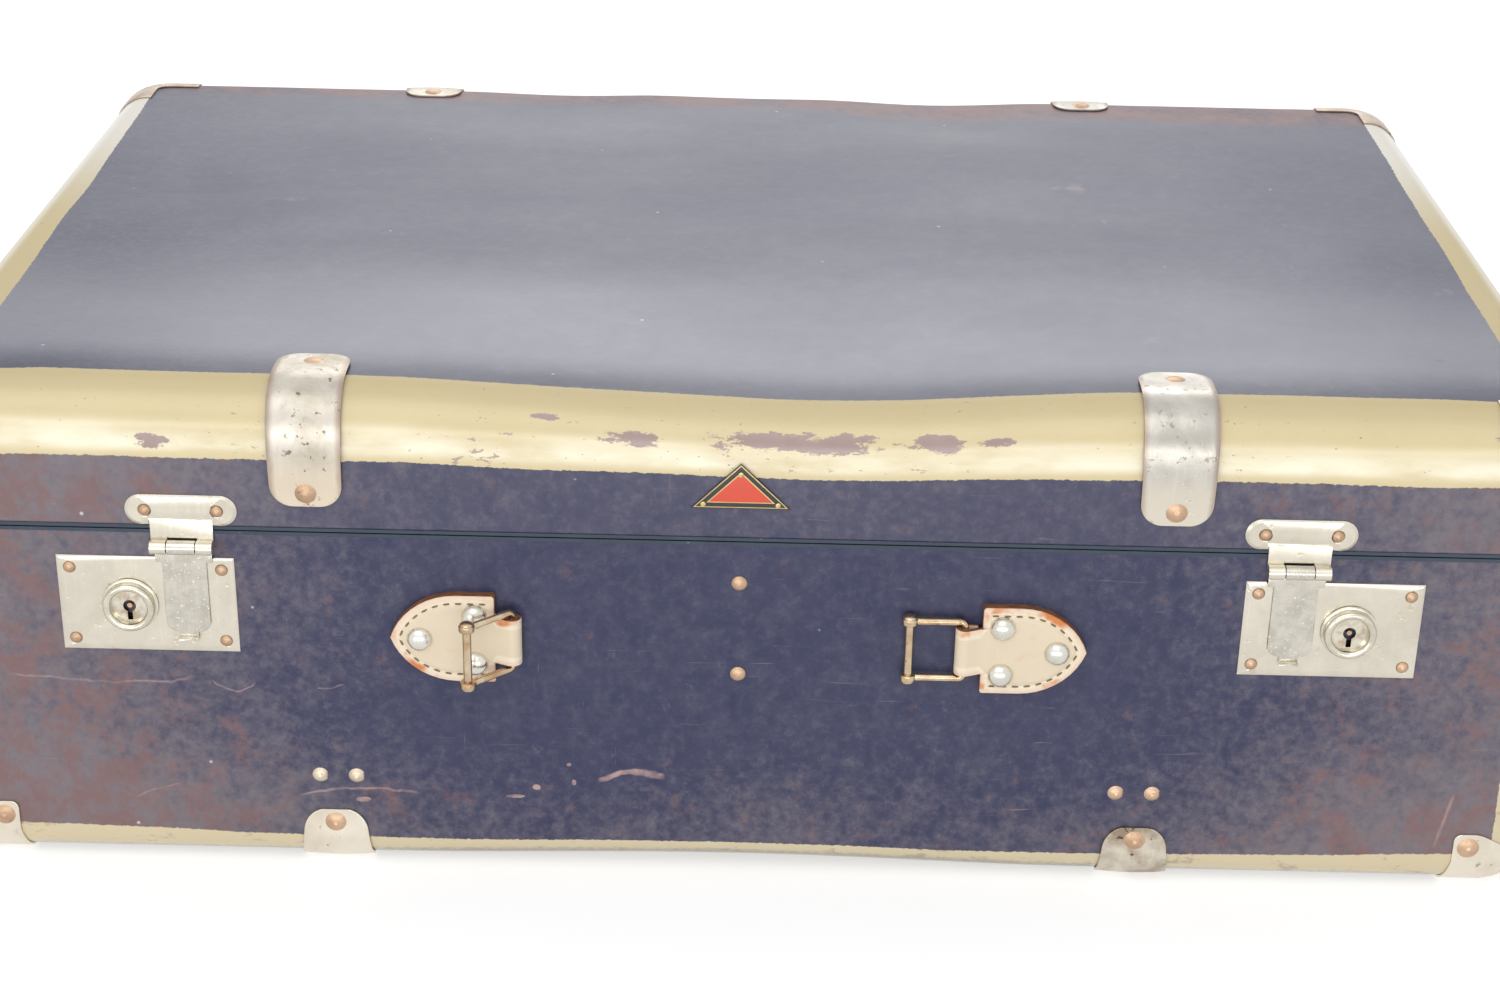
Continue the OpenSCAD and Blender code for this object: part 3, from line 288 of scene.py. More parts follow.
def grow_forward(bm, face, depth):
    """Thickens a flat face towards the front into a closed plate."""
    face.normal_update()
    if face.normal.y > 0:
        face.normal_flip()
    grown = bmesh.ops.extrude_face_region(bm, geom=[face], use_keep_orig=True)["geom"]
    bmesh.ops.translate(bm, vec=(0, -depth, 0), verts=verts_of(grown))
    bmesh.ops.recalc_face_normals(bm, faces=bm.faces)


def shell_sheet(piece, thickness, offset=-1, round_edge=0.0):
    sheet = piece.modifiers.new("sheet", "SOLIDIFY")
    sheet.thickness, sheet.offset = thickness, offset
    if round_edge:
        edge = piece.modifiers.new("edge", "BEVEL")
        edge.width, edge.segments = round_edge, 2
        edge.limit_method, edge.angle_limit = "ANGLE", radians(50)


def softened(node, width=0, pillow=0):
    """A copy of a CAD node with its crisp edges broken, or the rims of its flat front faces eased."""
    bm = bmesh.new()
    bm.from_mesh(frame["nodes"][node].data)
    bmesh.ops.remove_doubles(bm, verts=bm.verts, dist=WELD)
    if width:
        bmesh.ops.dissolve_limit(bm, angle_limit=radians(0.5), verts=bm.verts, edges=bm.edges)
    bmesh.ops.recalc_face_normals(bm, faces=bm.faces)
    if width:
        crisp = [e for e in bm.edges if len(e.link_faces) == 2 and e.calc_face_angle() > radians(35)]
        bevel(bm, crisp, width, 2, clamp=True)
        bmesh.ops.recalc_face_normals(bm, faces=bm.faces)
    if pillow:
        planes = {}
        for face in bm.faces:
            if face.normal.y < -0.999:
                planes.setdefault(round(face.verts[0].co.y, 5), []).append(face)
        flats = max(planes.values(), key=lambda faces: sum(f.calc_area() for f in faces))
        ring = bmesh.ops.inset_region(bm, faces=flats, thickness=pillow, use_even_offset=True,
                                      use_boundary=True)["faces"]
        rims = {v for f in ring for v in f.verts} - {v for f in flats for v in f.verts}
        bmesh.ops.translate(bm, vec=(0, 0.6 * pillow, 0), verts=list(rims))
    return bm


# Painted fibre

# Chips in the lid's front band: place along x, place round the roll, half length, half width
BAND_CHIPS = (
    (0.023, 0.0048, 0.036, 0.0060),
    (0.074, 0.0042, 0.010, 0.0052),
    (-0.043, 0.0034, 0.013, 0.0040),
    (-0.224, -0.0045, 0.0066, 0.0036),
    (-0.075, 0.012, 0.007, 0.0022),
    (-0.296, 0.009, 0.004, 0.0020),
    (0.097, 0.0042, 0.008, 0.0024),
    (0.290, 0.010, 0.006, 0.003),
)
# Scratches on the base's front wall: x from and to, height, rise, bow, width, strength
WALL_SCRATCHES = (
    (-0.289, -0.212, 0.0845, 0.000, -0.0022, 0.0007, 0.55),
    (-0.056, -0.028, 0.0415, 0.002, 0.0030, 0.0017, 1.00),
    (-0.208, -0.190, 0.0838, 0.000, -0.0045, 0.0006, 0.55),
    (-0.1665, -0.1553, 0.0815, 0.002, 0.000, 0.0006, 0.60),
    (-0.176, -0.126, 0.0328, 0.001, 0.0026, 0.0008, 0.60),
    (-0.242, -0.2235, 0.0295, 0.006, 0.001, 0.0005, 0.45),
)
# Bare spots on the same wall: x, height, half length, half height
WALL_SPOTS = (
    (-0.080, 0.0377, 0.0017, 0.0015),
    (-0.065, 0.0402, 0.0010, 0.0015),
    (-0.067, 0.0487, 0.0010, 0.0009),
    (-0.0885, 0.0332, 0.0042, 0.0010),
    (-0.150, 0.0305, 0.0034, 0.0012),
)


class FibrePaint(Finish):
    """Navy paint and cream edges on fibre, laid out on the tray's form before its dents."""

    def __init__(self, name):
        super().__init__(name, Specular_IOR_Level=0.40, Coat_Roughness=0.30)
        form = self.form = self.attribute("form")
        self.x, self.y, self.z = self.axes(form)
        self.side, self.depth = abs(self.x), self.y - FRONT
        self.ragged = self.noise(form, 420, 2, 0.6) - 0.5
        self.wander = self.noise(form, 14, 2) - 0.5
        self.edge = self.ragged * 0.0015 + self.wander * 0.0026
        self.broad = self.noise(form, 9, 4, 0.6)
        self.cloud = self.noise(self.scaled(form, (1.2, 1.2, 0.8)), 85, 6, 0.74)
        self.smudge = self.noise(self.scaled(form, (1.2, 1.2, 1)), 46, 6, 0.78)
        self.mottle = self.noise(form, 135, 5, 0.75)
        self.grain = self.noise(form, 260, 4, 0.7)
        self.fine = self.noise(form, 900, 2, 0.6)
        ends = self.step(self.x * -1, 0.10, 0.325) | self.step(self.x, 0.10, 0.335) * 0.72
        self.ends = ends * (1 - self.step(self.side, 0.312, 0.322) * 0.62)

    def mottled_navy(self):
        navy = self.mix(self.step(self.cloud, 0.3, 0.72), (0.020, 0.024, 0.076), (0.036, 0.038, 0.092))
        navy = self.mix(self.step(self.mottle, 0.4, 0.75) * 0.45, navy, (0.080, 0.080, 0.128))
        return self.mix(self.step(self.grain, 0.45, 0.75) * 0.45, navy, (0.082, 0.085, 0.140))

    def weathered(self, navy, haze_and_wear):
        """Grey haze, brown wear, dust, hairlines and pale specks over the navy."""
        form = self.form
        blend = self.cloud * 0.17 + self.mottle * 0.30 + self.grain * 0.36 + self.broad * 0.21
        # Low on the base this haze is partly painted bounce light from the floor.
        haze = self.step(blend + self.ends * 0.44 + haze_and_wear * 0.18, 0.55, 1.03)
        navy = self.mix(haze * 0.95, navy, (0.196, 0.168, 0.186))
        blend = self.smudge * 0.62 + self.mottle * 0.42
        self.wear = self.step(blend + self.ends * 0.16 + haze_and_wear * 0.06, 0.60, 0.77)
        navy = self.mix(self.wear * 0.60, navy, (0.225, 0.105, 0.095))
        dust = self.step(self.noise(form, 70, 5, 0.75) + self.fine * 0.25, 0.74, 0.98)
        navy = self.mix(dust * 0.30, navy, (0.34, 0.33, 0.36))
        level_hair = self.noise(self.scaled(form, (22, 22, 700)), 1.0, 3, 0.6, 0.6)
        upright_hair = self.noise(self.scaled(form, (800, 800, 26)), 1.0, 3, 0.6, 0.5)
        self.hairs = self.step(level_hair, 0.68, 0.79) | self.step(upright_hair, 0.70, 0.81)
        navy = self.mix(self.hairs * 0.5, navy, (0.33, 0.27, 0.28))
        chosen = self.step(self.axes(self.cells(form, 95, "Color"))[0], 0.955, 0.965)
        specks = (1 - self.step(self.cells(form, 95), 0.03, 0.10)) * chosen
        return self.mix(specks * 0.8, navy, (0.62, 0.64, 0.70))

    def cream(self):
        scuffs = self.noise(self.scaled(self.form, (1, 2.2, 2.2)), 120, 5, 0.7)
        self.scuff = self.step(scuffs, 0.66, 0.78)
        cream = self.mix(self.noise(self.form, 35, 4, 0.65), (0.61, 0.50, 0.27), (0.70, 0.59, 0.345))
        return self.mix(self.scuff * 0.30, cream, (0.30, 0.24, 0.18))

    def uprights(self):
        """The cream strips beside the four upright corners."""
        at_end = self.step(self.side + self.edge, 0.3048, 0.3052)
        return at_end * self.step(abs(self.y - MID_Y) + self.edge, 0.1898, 0.1902)

    def joined(self, navy, cream, band, shine):
        """Lays the cream over the navy along the band and gives each its own gloss."""
        roll_top = self.step(self.z, 0.2050, 0.2068)
        sheen = 0.42 + (self.cloud - 0.5) * 0.25 + self.wear * 0.10
        rough = sheen * (1 - band) + band * (0.30 + self.scuff * 0.2 + roll_top * 0.3)
        height = self.grain * 0.6 + self.fine * 0.25 + band * 0.3 + self.hairs * -0.25
        gloss = shine + (self.broad - 0.5) * 0.4 - self.wear * 0.2 | 0.0
        coat = gloss * (1 - band) + band * (1 - self.scuff * 0.6) * (1 - roll_top * 0.9)
        return self.paint(Base_Color=self.mix(band, navy, cream), Roughness=rough, Coat_Weight=coat,
                          Normal=self.bump(height, 0.0004, 0.55))


def lid_band(f):
    """Where the lid is cream: its front roll, its ends and corners, but not its rear roll."""
    above = f.step(f.z + f.edge, 0.1793, 0.1797)
    front_band = above * (1 - f.step(f.depth + f.edge, 0.0171, 0.0175))
    side_band = above * f.step(f.side + f.edge - f.y * 0.016, 0.3042, 0.3046)
    rear_roll = f.step(f.y, REAR - 0.018, REAR - 0.015) * f.step(f.z, 0.183, 0.186)
    return (front_band | side_band | f.uprights()) * (1 - rear_roll)


def chipped_cream(f, band):
    """The lid's cream: painted shade over the top of the roll, a painted highlight low on the front roll, pale at
    the ends and chipped.
    """
    form, z, side = f.form, f.z, f.side
    # Painted shade: the cream darkens over the top of the roll.
    cream = f.mix(f.step(z, 0.196, 0.2065) * 0.45, f.cream(), (0.52, 0.43, 0.235))
    # Painted highlight: a lighter, streaked band low on the front roll.
    roll_highlight = f.step(z, 0.1800, 0.1850) * (1 - f.step(z + f.wander * 0.006, 0.1840, 0.1970))
    roll_highlight = roll_highlight * (1 - f.step(f.depth, 0.02, 0.05))
    streaks = f.step(f.noise(f.scaled(form, (0.3, 1, 1)), 60, 4, 0.6), 0.25, 0.7)
    cream = f.mix(roll_highlight * streaks * 0.9, cream, (0.98, 0.94, 0.76))
    pale = f.step(side, 0.300, 0.306) * f.step(f.y, -0.02, 0.15)
    cream = f.mix(pale * 0.8, cream, (0.84, 0.83, 0.80))
    torn = f.noise(f.scaled(form, (0.42, 1.2, 1.2)), 200, 6, 0.78) - 0.5
    round_roll = z + f.depth - 0.191
    chips = []
    for place, turn, half_length, half_width in BAND_CHIPS:
        reach = ((f.x - place) / half_length) ** 2 + ((round_roll - turn) / half_width) ** 2
        chips.append(1 - f.step(reach + torn * 4.6, 0.62, 0.80))
    flecks = f.noise(f.scaled(form, (1, 2, 2)), 260, 3, 0.6) + f.noise(form, 24, 2) * 0.35
    tiny = f.step(flecks - f.step(side, 0.09, 0.17) * 0.05, 0.84, 0.88)
    bare = f.mix(f.noise(form, 90, 4, 0.7), (0.28, 0.19, 0.175), (0.41, 0.30, 0.28))
    return f.mix((any_of(chips) | tiny * 0.8) * band, cream, bare)


def lid_fibre():
    """The lid's paint: lighter on top, partly real fading and partly painted sheen, with painted shade behind its
    front roll, and rubbed along the rear.
    """
    f = FibrePaint("lid_paint")
    depth = f.depth
    top = f.step(f.z, 0.2056, 0.2068)
    fade_and_sheen_noise = f.noise(f.scaled(f.form, (0.45, 1, 1)), 12, 3, 0.55)
    front_sheen = f.step(depth, 0.024, 0.050) * (1 - f.step(depth, 0.07, 0.17))
    front_shade = top * (1 - f.step(depth + f.wander * 0.008, 0.018, 0.036))
    flank = f.step(f.side, 0.10, 0.30)
    mid_top = f.step(depth, 0.11, 0.18) * (1 - f.step(depth, 0.27, 0.37))
    # Lighter top: partly real fading, partly painted sheen; less of it in the middle of the top and towards its
    # ends.
    fade_and_sheen = top * f.step(fade_and_sheen_noise, 0.25, 0.8) * (0.75 - flank * 0.5) * (1 - mid_top * 0.45)
    rubbed = f.step(f.y + f.x * 0.024 + f.wander * 0.020, REAR - 0.042, REAR - 0.024)
    rubbed = rubbed * f.step(f.z + f.wander * 0.010, 0.190, 0.199)
    navy = f.mix(fade_and_sheen, f.mottled_navy(), (0.150, 0.152, 0.198))
    # Painted sheen: a paler band across the top behind the front roll.
    navy = f.mix(top * front_sheen * 0.58, navy, (0.262, 0.268, 0.322))
    # Painted shade: darker on the top just behind the front roll.
    navy = f.mix(front_shade * 0.6, navy, (0.040, 0.040, 0.078))
    navy = f.mix((1 - top) * 0.14, navy, (0.20, 0.18, 0.23))
    f.ends = f.ends * (1 - top * 0.85)
    navy = f.weathered(navy, (1 - top) * 0.35)
    bare = 0.25 + f.step(f.smudge, 0.38, 0.58) * 0.55
    navy = f.mix(rubbed * bare, navy, (0.250, 0.130, 0.112))
    shine = 0.22 + top * (0.26 - flank * 0.09 - mid_top * 0.07) - front_shade * 0.24 - rubbed * 0.20
    band = lid_band(f)
    return f.joined(navy, chipped_cream(f, band), band, shine)


def wall_marks(f):
    """Scratches, bare spots and one slanting slash on the base's front wall."""
    x, z = f.x, f.z
    waver = (f.noise(f.form, 90, 2) - 0.5) * 0.006
    marks = []
    for start, end, height, rise, bow, width, strength in WALL_SCRATCHES:
        along = (x - start) / (end - start)
        line = height + along * rise + along * (1 - along) * 4 * bow + waver
        inside = f.step(along, 0.0, 0.08) * (1 - f.step(along, 0.9, 1.0))
        marks.append((1 - f.step(abs(z - line), width * 0.4, width)) * inside * strength)
    for place, height, half_length, half_height in WALL_SPOTS:
        spot = ((x - place) / half_length) ** 2 + ((z - height) / half_height) ** 2
        marks.append(1 - f.step(spot + f.ragged * 1.5, 0.6, 1.0))
    slash_x = 0.2825 + (z - 0.020) * 0.20
    slash = (1 - f.step(abs(x - slash_x), 0.0004, 0.0009)) * f.step(z, 0.018, 0.022)
    marks.append(slash * (1 - f.step(z, 0.040, 0.046)) * 0.6)
    on_front = 1 - f.step(f.depth, 0.002, 0.004)
    faint = f.step(f.noise(f.form, 150, 3, 0.6), 0.34, 0.62)
    return any_of(marks) * on_front * (0.35 + faint * 0.6)


def shaded_nicked_cream(f):
    """The base's cream: greyed, nicked along its length and darkened by painted shade towards the floor."""
    nicks = f.step(f.noise(f.scaled(f.form, (1, 2, 2)), 60, 4, 0.7), 0.57, 0.67)
    cream = f.mix(0.55, f.cream(), (0.64, 0.56, 0.40))
    cream = f.mix(nicks * 0.7, cream, (0.36, 0.25, 0.21))
    # Painted shade on the underside of the bottom roll, reaching higher in the middle.
    underside_shade = f.z + f.ragged * 0.003 - (1 - f.step(f.side, 0.09, 0.22)) * 0.0024
    return f.mix((1 - f.step(underside_shade, 0.0028, 0.0066)) * 0.8, cream, (0.17, 0.145, 0.09))


def base_fibre():
    f = FibrePaint("base_paint")
    # Near the floor the grey haze grows, partly weathering and partly painted bounce light; the brown wear grows
    # there too.
    navy = f.weathered(f.mottled_navy(), 1 - f.step(f.z, 0.012, 0.075))
    navy = f.mix(wall_marks(f), navy, (0.46, 0.31, 0.29))
    foot_edge = 0.0119 + f.x * f.x * 0.052
    foot_band = 1 - f.step(f.z + f.edge - foot_edge, -0.0002, 0.0002)
    return f.joined(navy, shaded_nicked_cream(f), foot_band | f.uprights(), 0.22)


# Other finishes

def plated(name, bright, dull, spot, rough, scale=1.0, wear=0.5, dented=0.35,
           right=None, edge=0.0, floor_reflection=None):
    """Plated sheet metal: cloudy tarnish, hairline scratches and small spots."""
    f = Finish(name, Metallic=1.0)
    p = f.place
    cloud = f.noise(p, 60 * scale, 5, 0.65, 0.3)
    hair = f.noise(f.scaled(p, (900, 900, 40), (0.3, 0.7, 0.2)), 1.0, 2, 0.5)
    spots = f.step(f.noise(p, 330 * scale, 3, 0.6) + cloud * 0.3, 0.78, 0.86)
    colour = f.mix(f.step(cloud, 0.32, 0.72), bright, dull)
    if right:
        colour = f.mix(f.step(f.axes(p)[0], -MM, MM), colour, right)
    if floor_reflection:
        # Painted reflection of the floor: the lower end of a clamp is lighter and warmer.
        colour = f.mix((1 - f.step(f.axes(p)[2], 0.171, 0.186)) * 0.8, colour, floor_reflection)
    # Darker long edges: partly tarnish, partly painted shade for the darker reflection along a crowned strip's
    # sides.
    if edge:
        rim = f.attribute("rim", "Fac") + (cloud - 0.5) * 0.004
        colour = f.mix((1 - f.step(rim, 0.0003, edge)) * 0.5, colour, spot)
    colour = f.mix(spots * wear, colour, spot)
    worn = rough + (cloud - 0.5) * 0.16 + f.step(hair, 0.55, 0.75) * 0.10 + spots * 0.2
    relief = f.bump(hair * 0.5 + cloud * 0.5 - spots, 0.0002, dented)
    return f.paint(Base_Color=colour, Roughness=worn, Normal=relief)


def stained_knob():
    """Bright nickel with a brown stain in the dished middle and painted shade down the keyhole."""
    f = Finish("knob_nickel", Metallic=1.0)
    x, y, z = f.axes(f.place)
    spread = (((abs(x) - KNOB_X) ** 2) + ((z - KNOB_Z) ** 2)) ** 0.5
    cloud = f.noise(f.place, 150, 4, 0.65)
    dish = 1 - f.step(spread, 0.0056, 0.0064)
    colour = f.mix(f.step(cloud, 0.3, 0.7), (0.76, 0.72, 0.62), (0.61, 0.56, 0.45))
    colour = f.mix(dish * f.step(cloud, 0.42, 0.66) * 0.65, colour, (0.42, 0.27, 0.15))
    # Painted shade: near black on the surfaces down inside the keyhole.
    hole = f.step(y, FRONT - 2.7 * MM, FRONT - 2.5 * MM) * (1 - f.step(spread, 0.0066, 0.0068))
    colour = f.mix(hole, colour, (0.015, 0.011, 0.008))
    return f.paint(Base_Color=colour, Roughness=0.20 + dish * 0.14 + cloud * 0.08,
                   Normal=f.bump(cloud, 0.0002, 0.2))


def undyed_hide():
    """Pale leather, scorched and stained along its edges."""
    f = Finish("undyed_hide", Specular_IOR_Level=0.4)
    p = f.place
    pores = f.cells(p, 1400)
    cloud = f.noise(p, 55, 4, 0.6)
    rim = f.attribute("rim", "Fac")
    stain = f.step(f.noise(p, 95, 4, 0.7), 0.45, 0.75)
    scorch = f.step(f.noise(p, 62, 3, 0.6), 0.50, 0.66)
    colour = f.mix(cloud, (0.80, 0.70, 0.52), (0.86, 0.78, 0.62))
    colour = f.mix(f.step(rim, 0.0034, 0.0044) * (0.3 + cloud * 0.5), colour, (0.66, 0.54, 0.40))
    colour = f.mix((1 - f.step(rim, 0.0022, 0.0030)) * 0.55, colour, (0.84, 0.70, 0.58))
    burnt = 1 - f.step(rim + (stain - 0.5) * 0.0012 - scorch * 0.0010, 0.0006, 0.0021)
    colour = f.mix(burnt * (0.16 + scorch * 0.84), colour, (0.66, 0.22, 0.065))
    colour = f.mix(f.step(f.noise(p, 120, 4, 0.65), 0.58, 0.74) * 0.5, colour, (0.74, 0.45, 0.28))
    return f.paint(Base_Color=colour, Roughness=0.42 + cloud * 0.15, Normal=f.bump(pores, 0.00015, 0.4))


def cut_hide():
    f = Finish("cut_hide", Specular_IOR_Level=0.3)
    fibres = f.noise(f.scaled(f.place, (300, 1600, 300)), 1.0, 4, 0.7)
    # The cut edges' dark brown is partly the leather's own and partly painted shade along the tabs' outlines.
    colour = f.mix(f.step(fibres, 0.3, 0.7), (0.11, 0.045, 0.025), (0.30, 0.13, 0.06))
    return f.paint(Base_Color=colour, Roughness=0.7 + fibres * 0.15, Normal=f.bump(fibres, 0.0003, 0.5))


def thread():
    f = Finish("waxed_thread", Roughness=0.7)
    twist = f.noise(f.scaled(f.place, (3000, 3000, 3000)), 1.0, 2)
    colour = f.mix(twist, (0.12, 0.085, 0.04), (0.30, 0.22, 0.12))
    return f.paint(Base_Color=colour, Normal=f.bump(twist, 0.0001, 0.5))


def enamel(name, dark, light, rough):
    f = Finish(name, Coat_Weight=0.5, Coat_Roughness=0.15)
    cloud = f.noise(f.place, 90, 4, 0.65)
    nicks = f.step(f.noise(f.place, 420, 3, 0.6), 0.70, 0.76)
    colour = f.mix(nicks * 0.5, f.mix(cloud, dark, light), (0.30, 0.32, 0.34))
    return f.paint(Base_Color=colour, Roughness=rough + cloud * 0.15, Normal=f.bump(cloud, 0.0002, 0.3))


def lining_paper():
    """Plain checked lining paper, foxed with age."""
    f = Finish("lining_paper", Specular_IOR_Level=0.25)
    x, y, z = f.axes(f.place)
    pulp = f.noise(f.place, 700, 3, 0.7)
    fox = f.step(f.noise(f.place, 18, 5, 0.65), 0.52, 0.74)
    fine = (x * 480).maths("SINE") * ((y + z) * 480).maths("SINE")
    colour = f.mix(pulp, (0.50, 0.43, 0.31), (0.60, 0.52, 0.39))
    colour = f.mix(f.step(fine, 0.15, 0.5) * 0.25, colour, (0.33, 0.30, 0.27))
    colour = f.mix(fox * 0.4, colour, (0.36, 0.25, 0.14))
    return f.paint(Base_Color=colour, Roughness=0.8 + pulp * 0.1, Normal=f.bump(pulp, 0.0002, 0.3))


def card():
    f = Finish("pale_card", Specular_IOR_Level=0.3)
    pulp = f.noise(f.scaled(f.place, (1, 1, 4)), 260, 4, 0.7)
    stain = f.noise(f.place, 22, 4, 0.6)
    colour = f.mix(pulp, (0.56, 0.46, 0.30), (0.66, 0.57, 0.40))
    colour = f.mix(f.step(stain, 0.4, 0.8) * 0.6, colour, (0.38, 0.28, 0.17))
    return f.paint(Base_Color=colour, Roughness=0.72 + pulp * 0.12, Normal=f.bump(pulp, 0.0002, 0.4))


def sawn_wood():
    f = Finish("sawn_wood", Specular_IOR_Level=0.3)
    grain = f.noise(f.scaled(f.place, (3, 60, 60)), 3.0, 5, 0.6, 1.2)
    pores = f.noise(f.scaled(f.place, (20, 700, 700)), 1.0, 3, 0.6)
    colour = f.mix(grain, (0.42, 0.28, 0.15), (0.64, 0.47, 0.28))
    colour = f.mix(f.step(pores, 0.58, 0.7) * 0.5, colour, (0.26, 0.16, 0.08))
    return f.paint(Base_Color=colour, Roughness=0.62 + grain * 0.15, Normal=f.bump(pores, 0.0003, 0.4))


def webbing():
    f = Finish("cotton_webbing", Specular_IOR_Level=0.2)
    x, y, z = f.axes(f.place)
    warp = (x * 2600).maths("SINE")
    weft = ((y + z) * 2600).maths("SINE")
    weave = warp * weft * 0.5 + 0.5
    cloud = f.noise(f.place, 40, 4, 0.6)
    colour = f.mix(weave, (0.20, 0.155, 0.09), (0.40, 0.32, 0.20))
    colour = f.mix(f.step(cloud, 0.45, 0.75) * 0.4, colour, (0.16, 0.12, 0.08))
    return f.paint(Base_Color=colour, Roughness=0.85 - weave * 0.1, Normal=f.bump(weave, 0.0005, 0.6))


place_camera()
white_room()
white_floor()
soft_lamp("window", (-0.5, -1.7, 2.3), (0, 0, 0.1), width=2.6, height=1.8, watts=14)
soft_lamp("front_strip", (-0.2, -2.2, 0.21), (0, -0.2, 0.18), width=2.8, height=0.36, watts=13)
soft_lamp("back_card", (0.05, 2.1, 1.60), (0, 0.0, 0.2), width=1.7, height=0.8, watts=10)

lid_paint, base_paint = lid_fibre(), base_fibre()
nickel = plated("worn_nickel", (0.70, 0.67, 0.58), (0.60, 0.56, 0.46), (0.30, 0.20, 0.13), rough=0.26)
bright_nickel = plated("bright_nickel", (0.80, 0.78, 0.72), (0.70, 0.68, 0.61), (0.40, 0.34, 0.26),
                       rough=0.26, scale=1.4, wear=0.15, dented=0.15)
clamp_nickel = plated("clamp_nickel", (0.64, 0.60, 0.53), (0.46, 0.41, 0.33), (0.26, 0.15, 0.11),
                      rough=0.41, wear=0.8, dented=0.9, edge=3 * MM, floor_reflection=(0.80, 0.69, 0.54))
bright_clamp = plated("bright_clamp", (0.62, 0.59, 0.54), (0.43, 0.41, 0.36), (0.30, 0.18, 0.13),
                      rough=0.34, wear=0.3, dented=0.6, edge=3 * MM, floor_reflection=(0.80, 0.73, 0.61))
pale_copper = plated("pale_copper", (0.78, 0.68, 0.54), (0.62, 0.50, 0.37), (0.40, 0.30, 0.20),
                     rough=0.46, scale=2.0, right=(0.66, 0.47, 0.33))
copper = plated("dull_copper", (0.64, 0.44, 0.30), (0.48, 0.32, 0.21), (0.30, 0.20, 0.14),
                rough=0.46, scale=2.0)
buckle_metal = plated("worn_brass", (0.72, 0.59, 0.41), (0.47, 0.31, 0.18), (0.32, 0.14, 0.07),
                      rough=0.22, scale=1.6, wear=0.7)
plate_nickel = plated("plate_nickel", (0.78, 0.73, 0.62), (0.66, 0.61, 0.51), (0.46, 0.36, 0.26),
                      rough=0.29, scale=0.8, wear=0.35)
leaf_nickel = plated("leaf_nickel", (0.72, 0.68, 0.60), (0.54, 0.51, 0.44), (0.86, 0.84, 0.78),
                     rough=0.25, scale=2.2, wear=0.6)
knob_nickel = stained_knob()
foot_nickel = plated("foot_nickel", (0.86, 0.79, 0.67), (0.74, 0.66, 0.53), (0.22, 0.14, 0.10),
                     rough=0.32, scale=0.8, wear=0.6)
cap_nickel = plated("cap_nickel", (0.66, 0.58, 0.48), (0.42, 0.32, 0.25), (0.22, 0.13, 0.09),
                    rough=0.38, scale=0.8, wear=0.7)
dark_foot = plated("dark_foot", (0.72, 0.66, 0.55), (0.34, 0.26, 0.19), (0.10, 0.07, 0.05),
                   rough=0.40, scale=0.8, wear=0.9)
steel = plated("plain_steel", (0.46, 0.45, 0.44), (0.33, 0.31, 0.29), (0.22, 0.12, 0.07), rough=0.42)
hide, raw_hide, waxed = undyed_hide(), cut_hide(), thread()
binding = enamel("blue_binding", (0.010, 0.022, 0.045), (0.03, 0.055, 0.09), rough=0.22)
paper, tongue_card, wood, cotton = lining_paper(), card(), sawn_wood(), webbing()
badge_black = enamel("badge_black", (0.010, 0.010, 0.010), (0.035, 0.03, 0.025), rough=0.3)
badge_red = enamel("badge_red", (0.62, 0.055, 0.025), (0.75, 0.085, 0.035), rough=0.3)
badge_gold = plated("badge_gold", (0.78, 0.62, 0.30), (0.62, 0.46, 0.20), (0.24, 0.16, 0.08),
                    rough=0.3, scale=3.0)

by_slot = {
    "fibre": base_paint, "lining": paper, "tongue": tongue_card, "binding": binding, "board": wood,
    "nickel": nickel, "dome": bright_nickel, "copper": copper, "hide": hide, "buckle": buckle_metal,
    "webbing": cotton, "spring": steel, "badge": badge_red,
}
for part in frame["record"]["subparts"]:
    slots = frame["nodes"][part["node"]].data.materials
    slots.clear()
    slots.append(by_slot[part["material_slot"]].material)


# Fibre trays

def bell(value, middle, reach):
    near = (value - middle) / reach
    return (1 - near * near) ** 2 if abs(near) < 1 else 0.0


def limited(value):
    return max(0.0, min(1.0, value))


def eased(value):
    """A share from nought to one that starts and ends gently."""
    value = limited(value)
    return value * value * (3 - 2 * value)


def hold(x, y):
    """Nought under the lid's clamps and caps, one out on the free sheet."""
    free = 1.0
    for held_x in (-LID_CLAMP_X, LID_CLAMP_X, lid_low.x, lid_high.x):
        for held_y in (FRONT, REAR):
            near = sqrt((x - held_x) ** 2 + ((y - held_y) * 0.8) ** 2)
            free *= 1 - exp(-(max(0.0, near - 0.012) / 0.034) ** 2)
    return free


def front_lean(x, y, z):
    """How far the lid's worn front edge leans back."""
    fade = exp(-(max(0.0, y - FRONT - LID_ROLL) / 0.06) ** 2)
    return 3.0 * MM * eased((z - 0.172) / 0.035) * eased((0.310 - abs(x)) / 0.05) * fade


# Dents and swells of the lid's top: x, y, reach along x, reach along y, rise in millimetres
TOP_DENTS = (
    (-0.255, 0.046, 0.080, 0.022, -2.4),
    (0.250, -0.008, 0.070, 0.024, 1.7),
    (0.075, -0.030, 0.090, 0.026, 2.6),
    (-0.165, 0.165, 0.060, 0.020, 1.4),
    (0.215, 0.135, 0.060, 0.018, 1.3),
    (-0.190, 0.020, 0.055, 0.024, 1.8),
)


def uneven_top(x, y):
    rise = noise.noise(Vector((x * 5, y * 11, 3.7))) * 3.4
    rise += noise.noise(Vector((x * 13, y * 24, 8.2))) * 0.9
    for dent_x, dent_y, reach_x, reach_y, dent in TOP_DENTS:
        rise += dent * exp(-((x - dent_x) / reach_x) ** 2 - ((y - dent_y) / reach_y) ** 2)
    return rise * MM


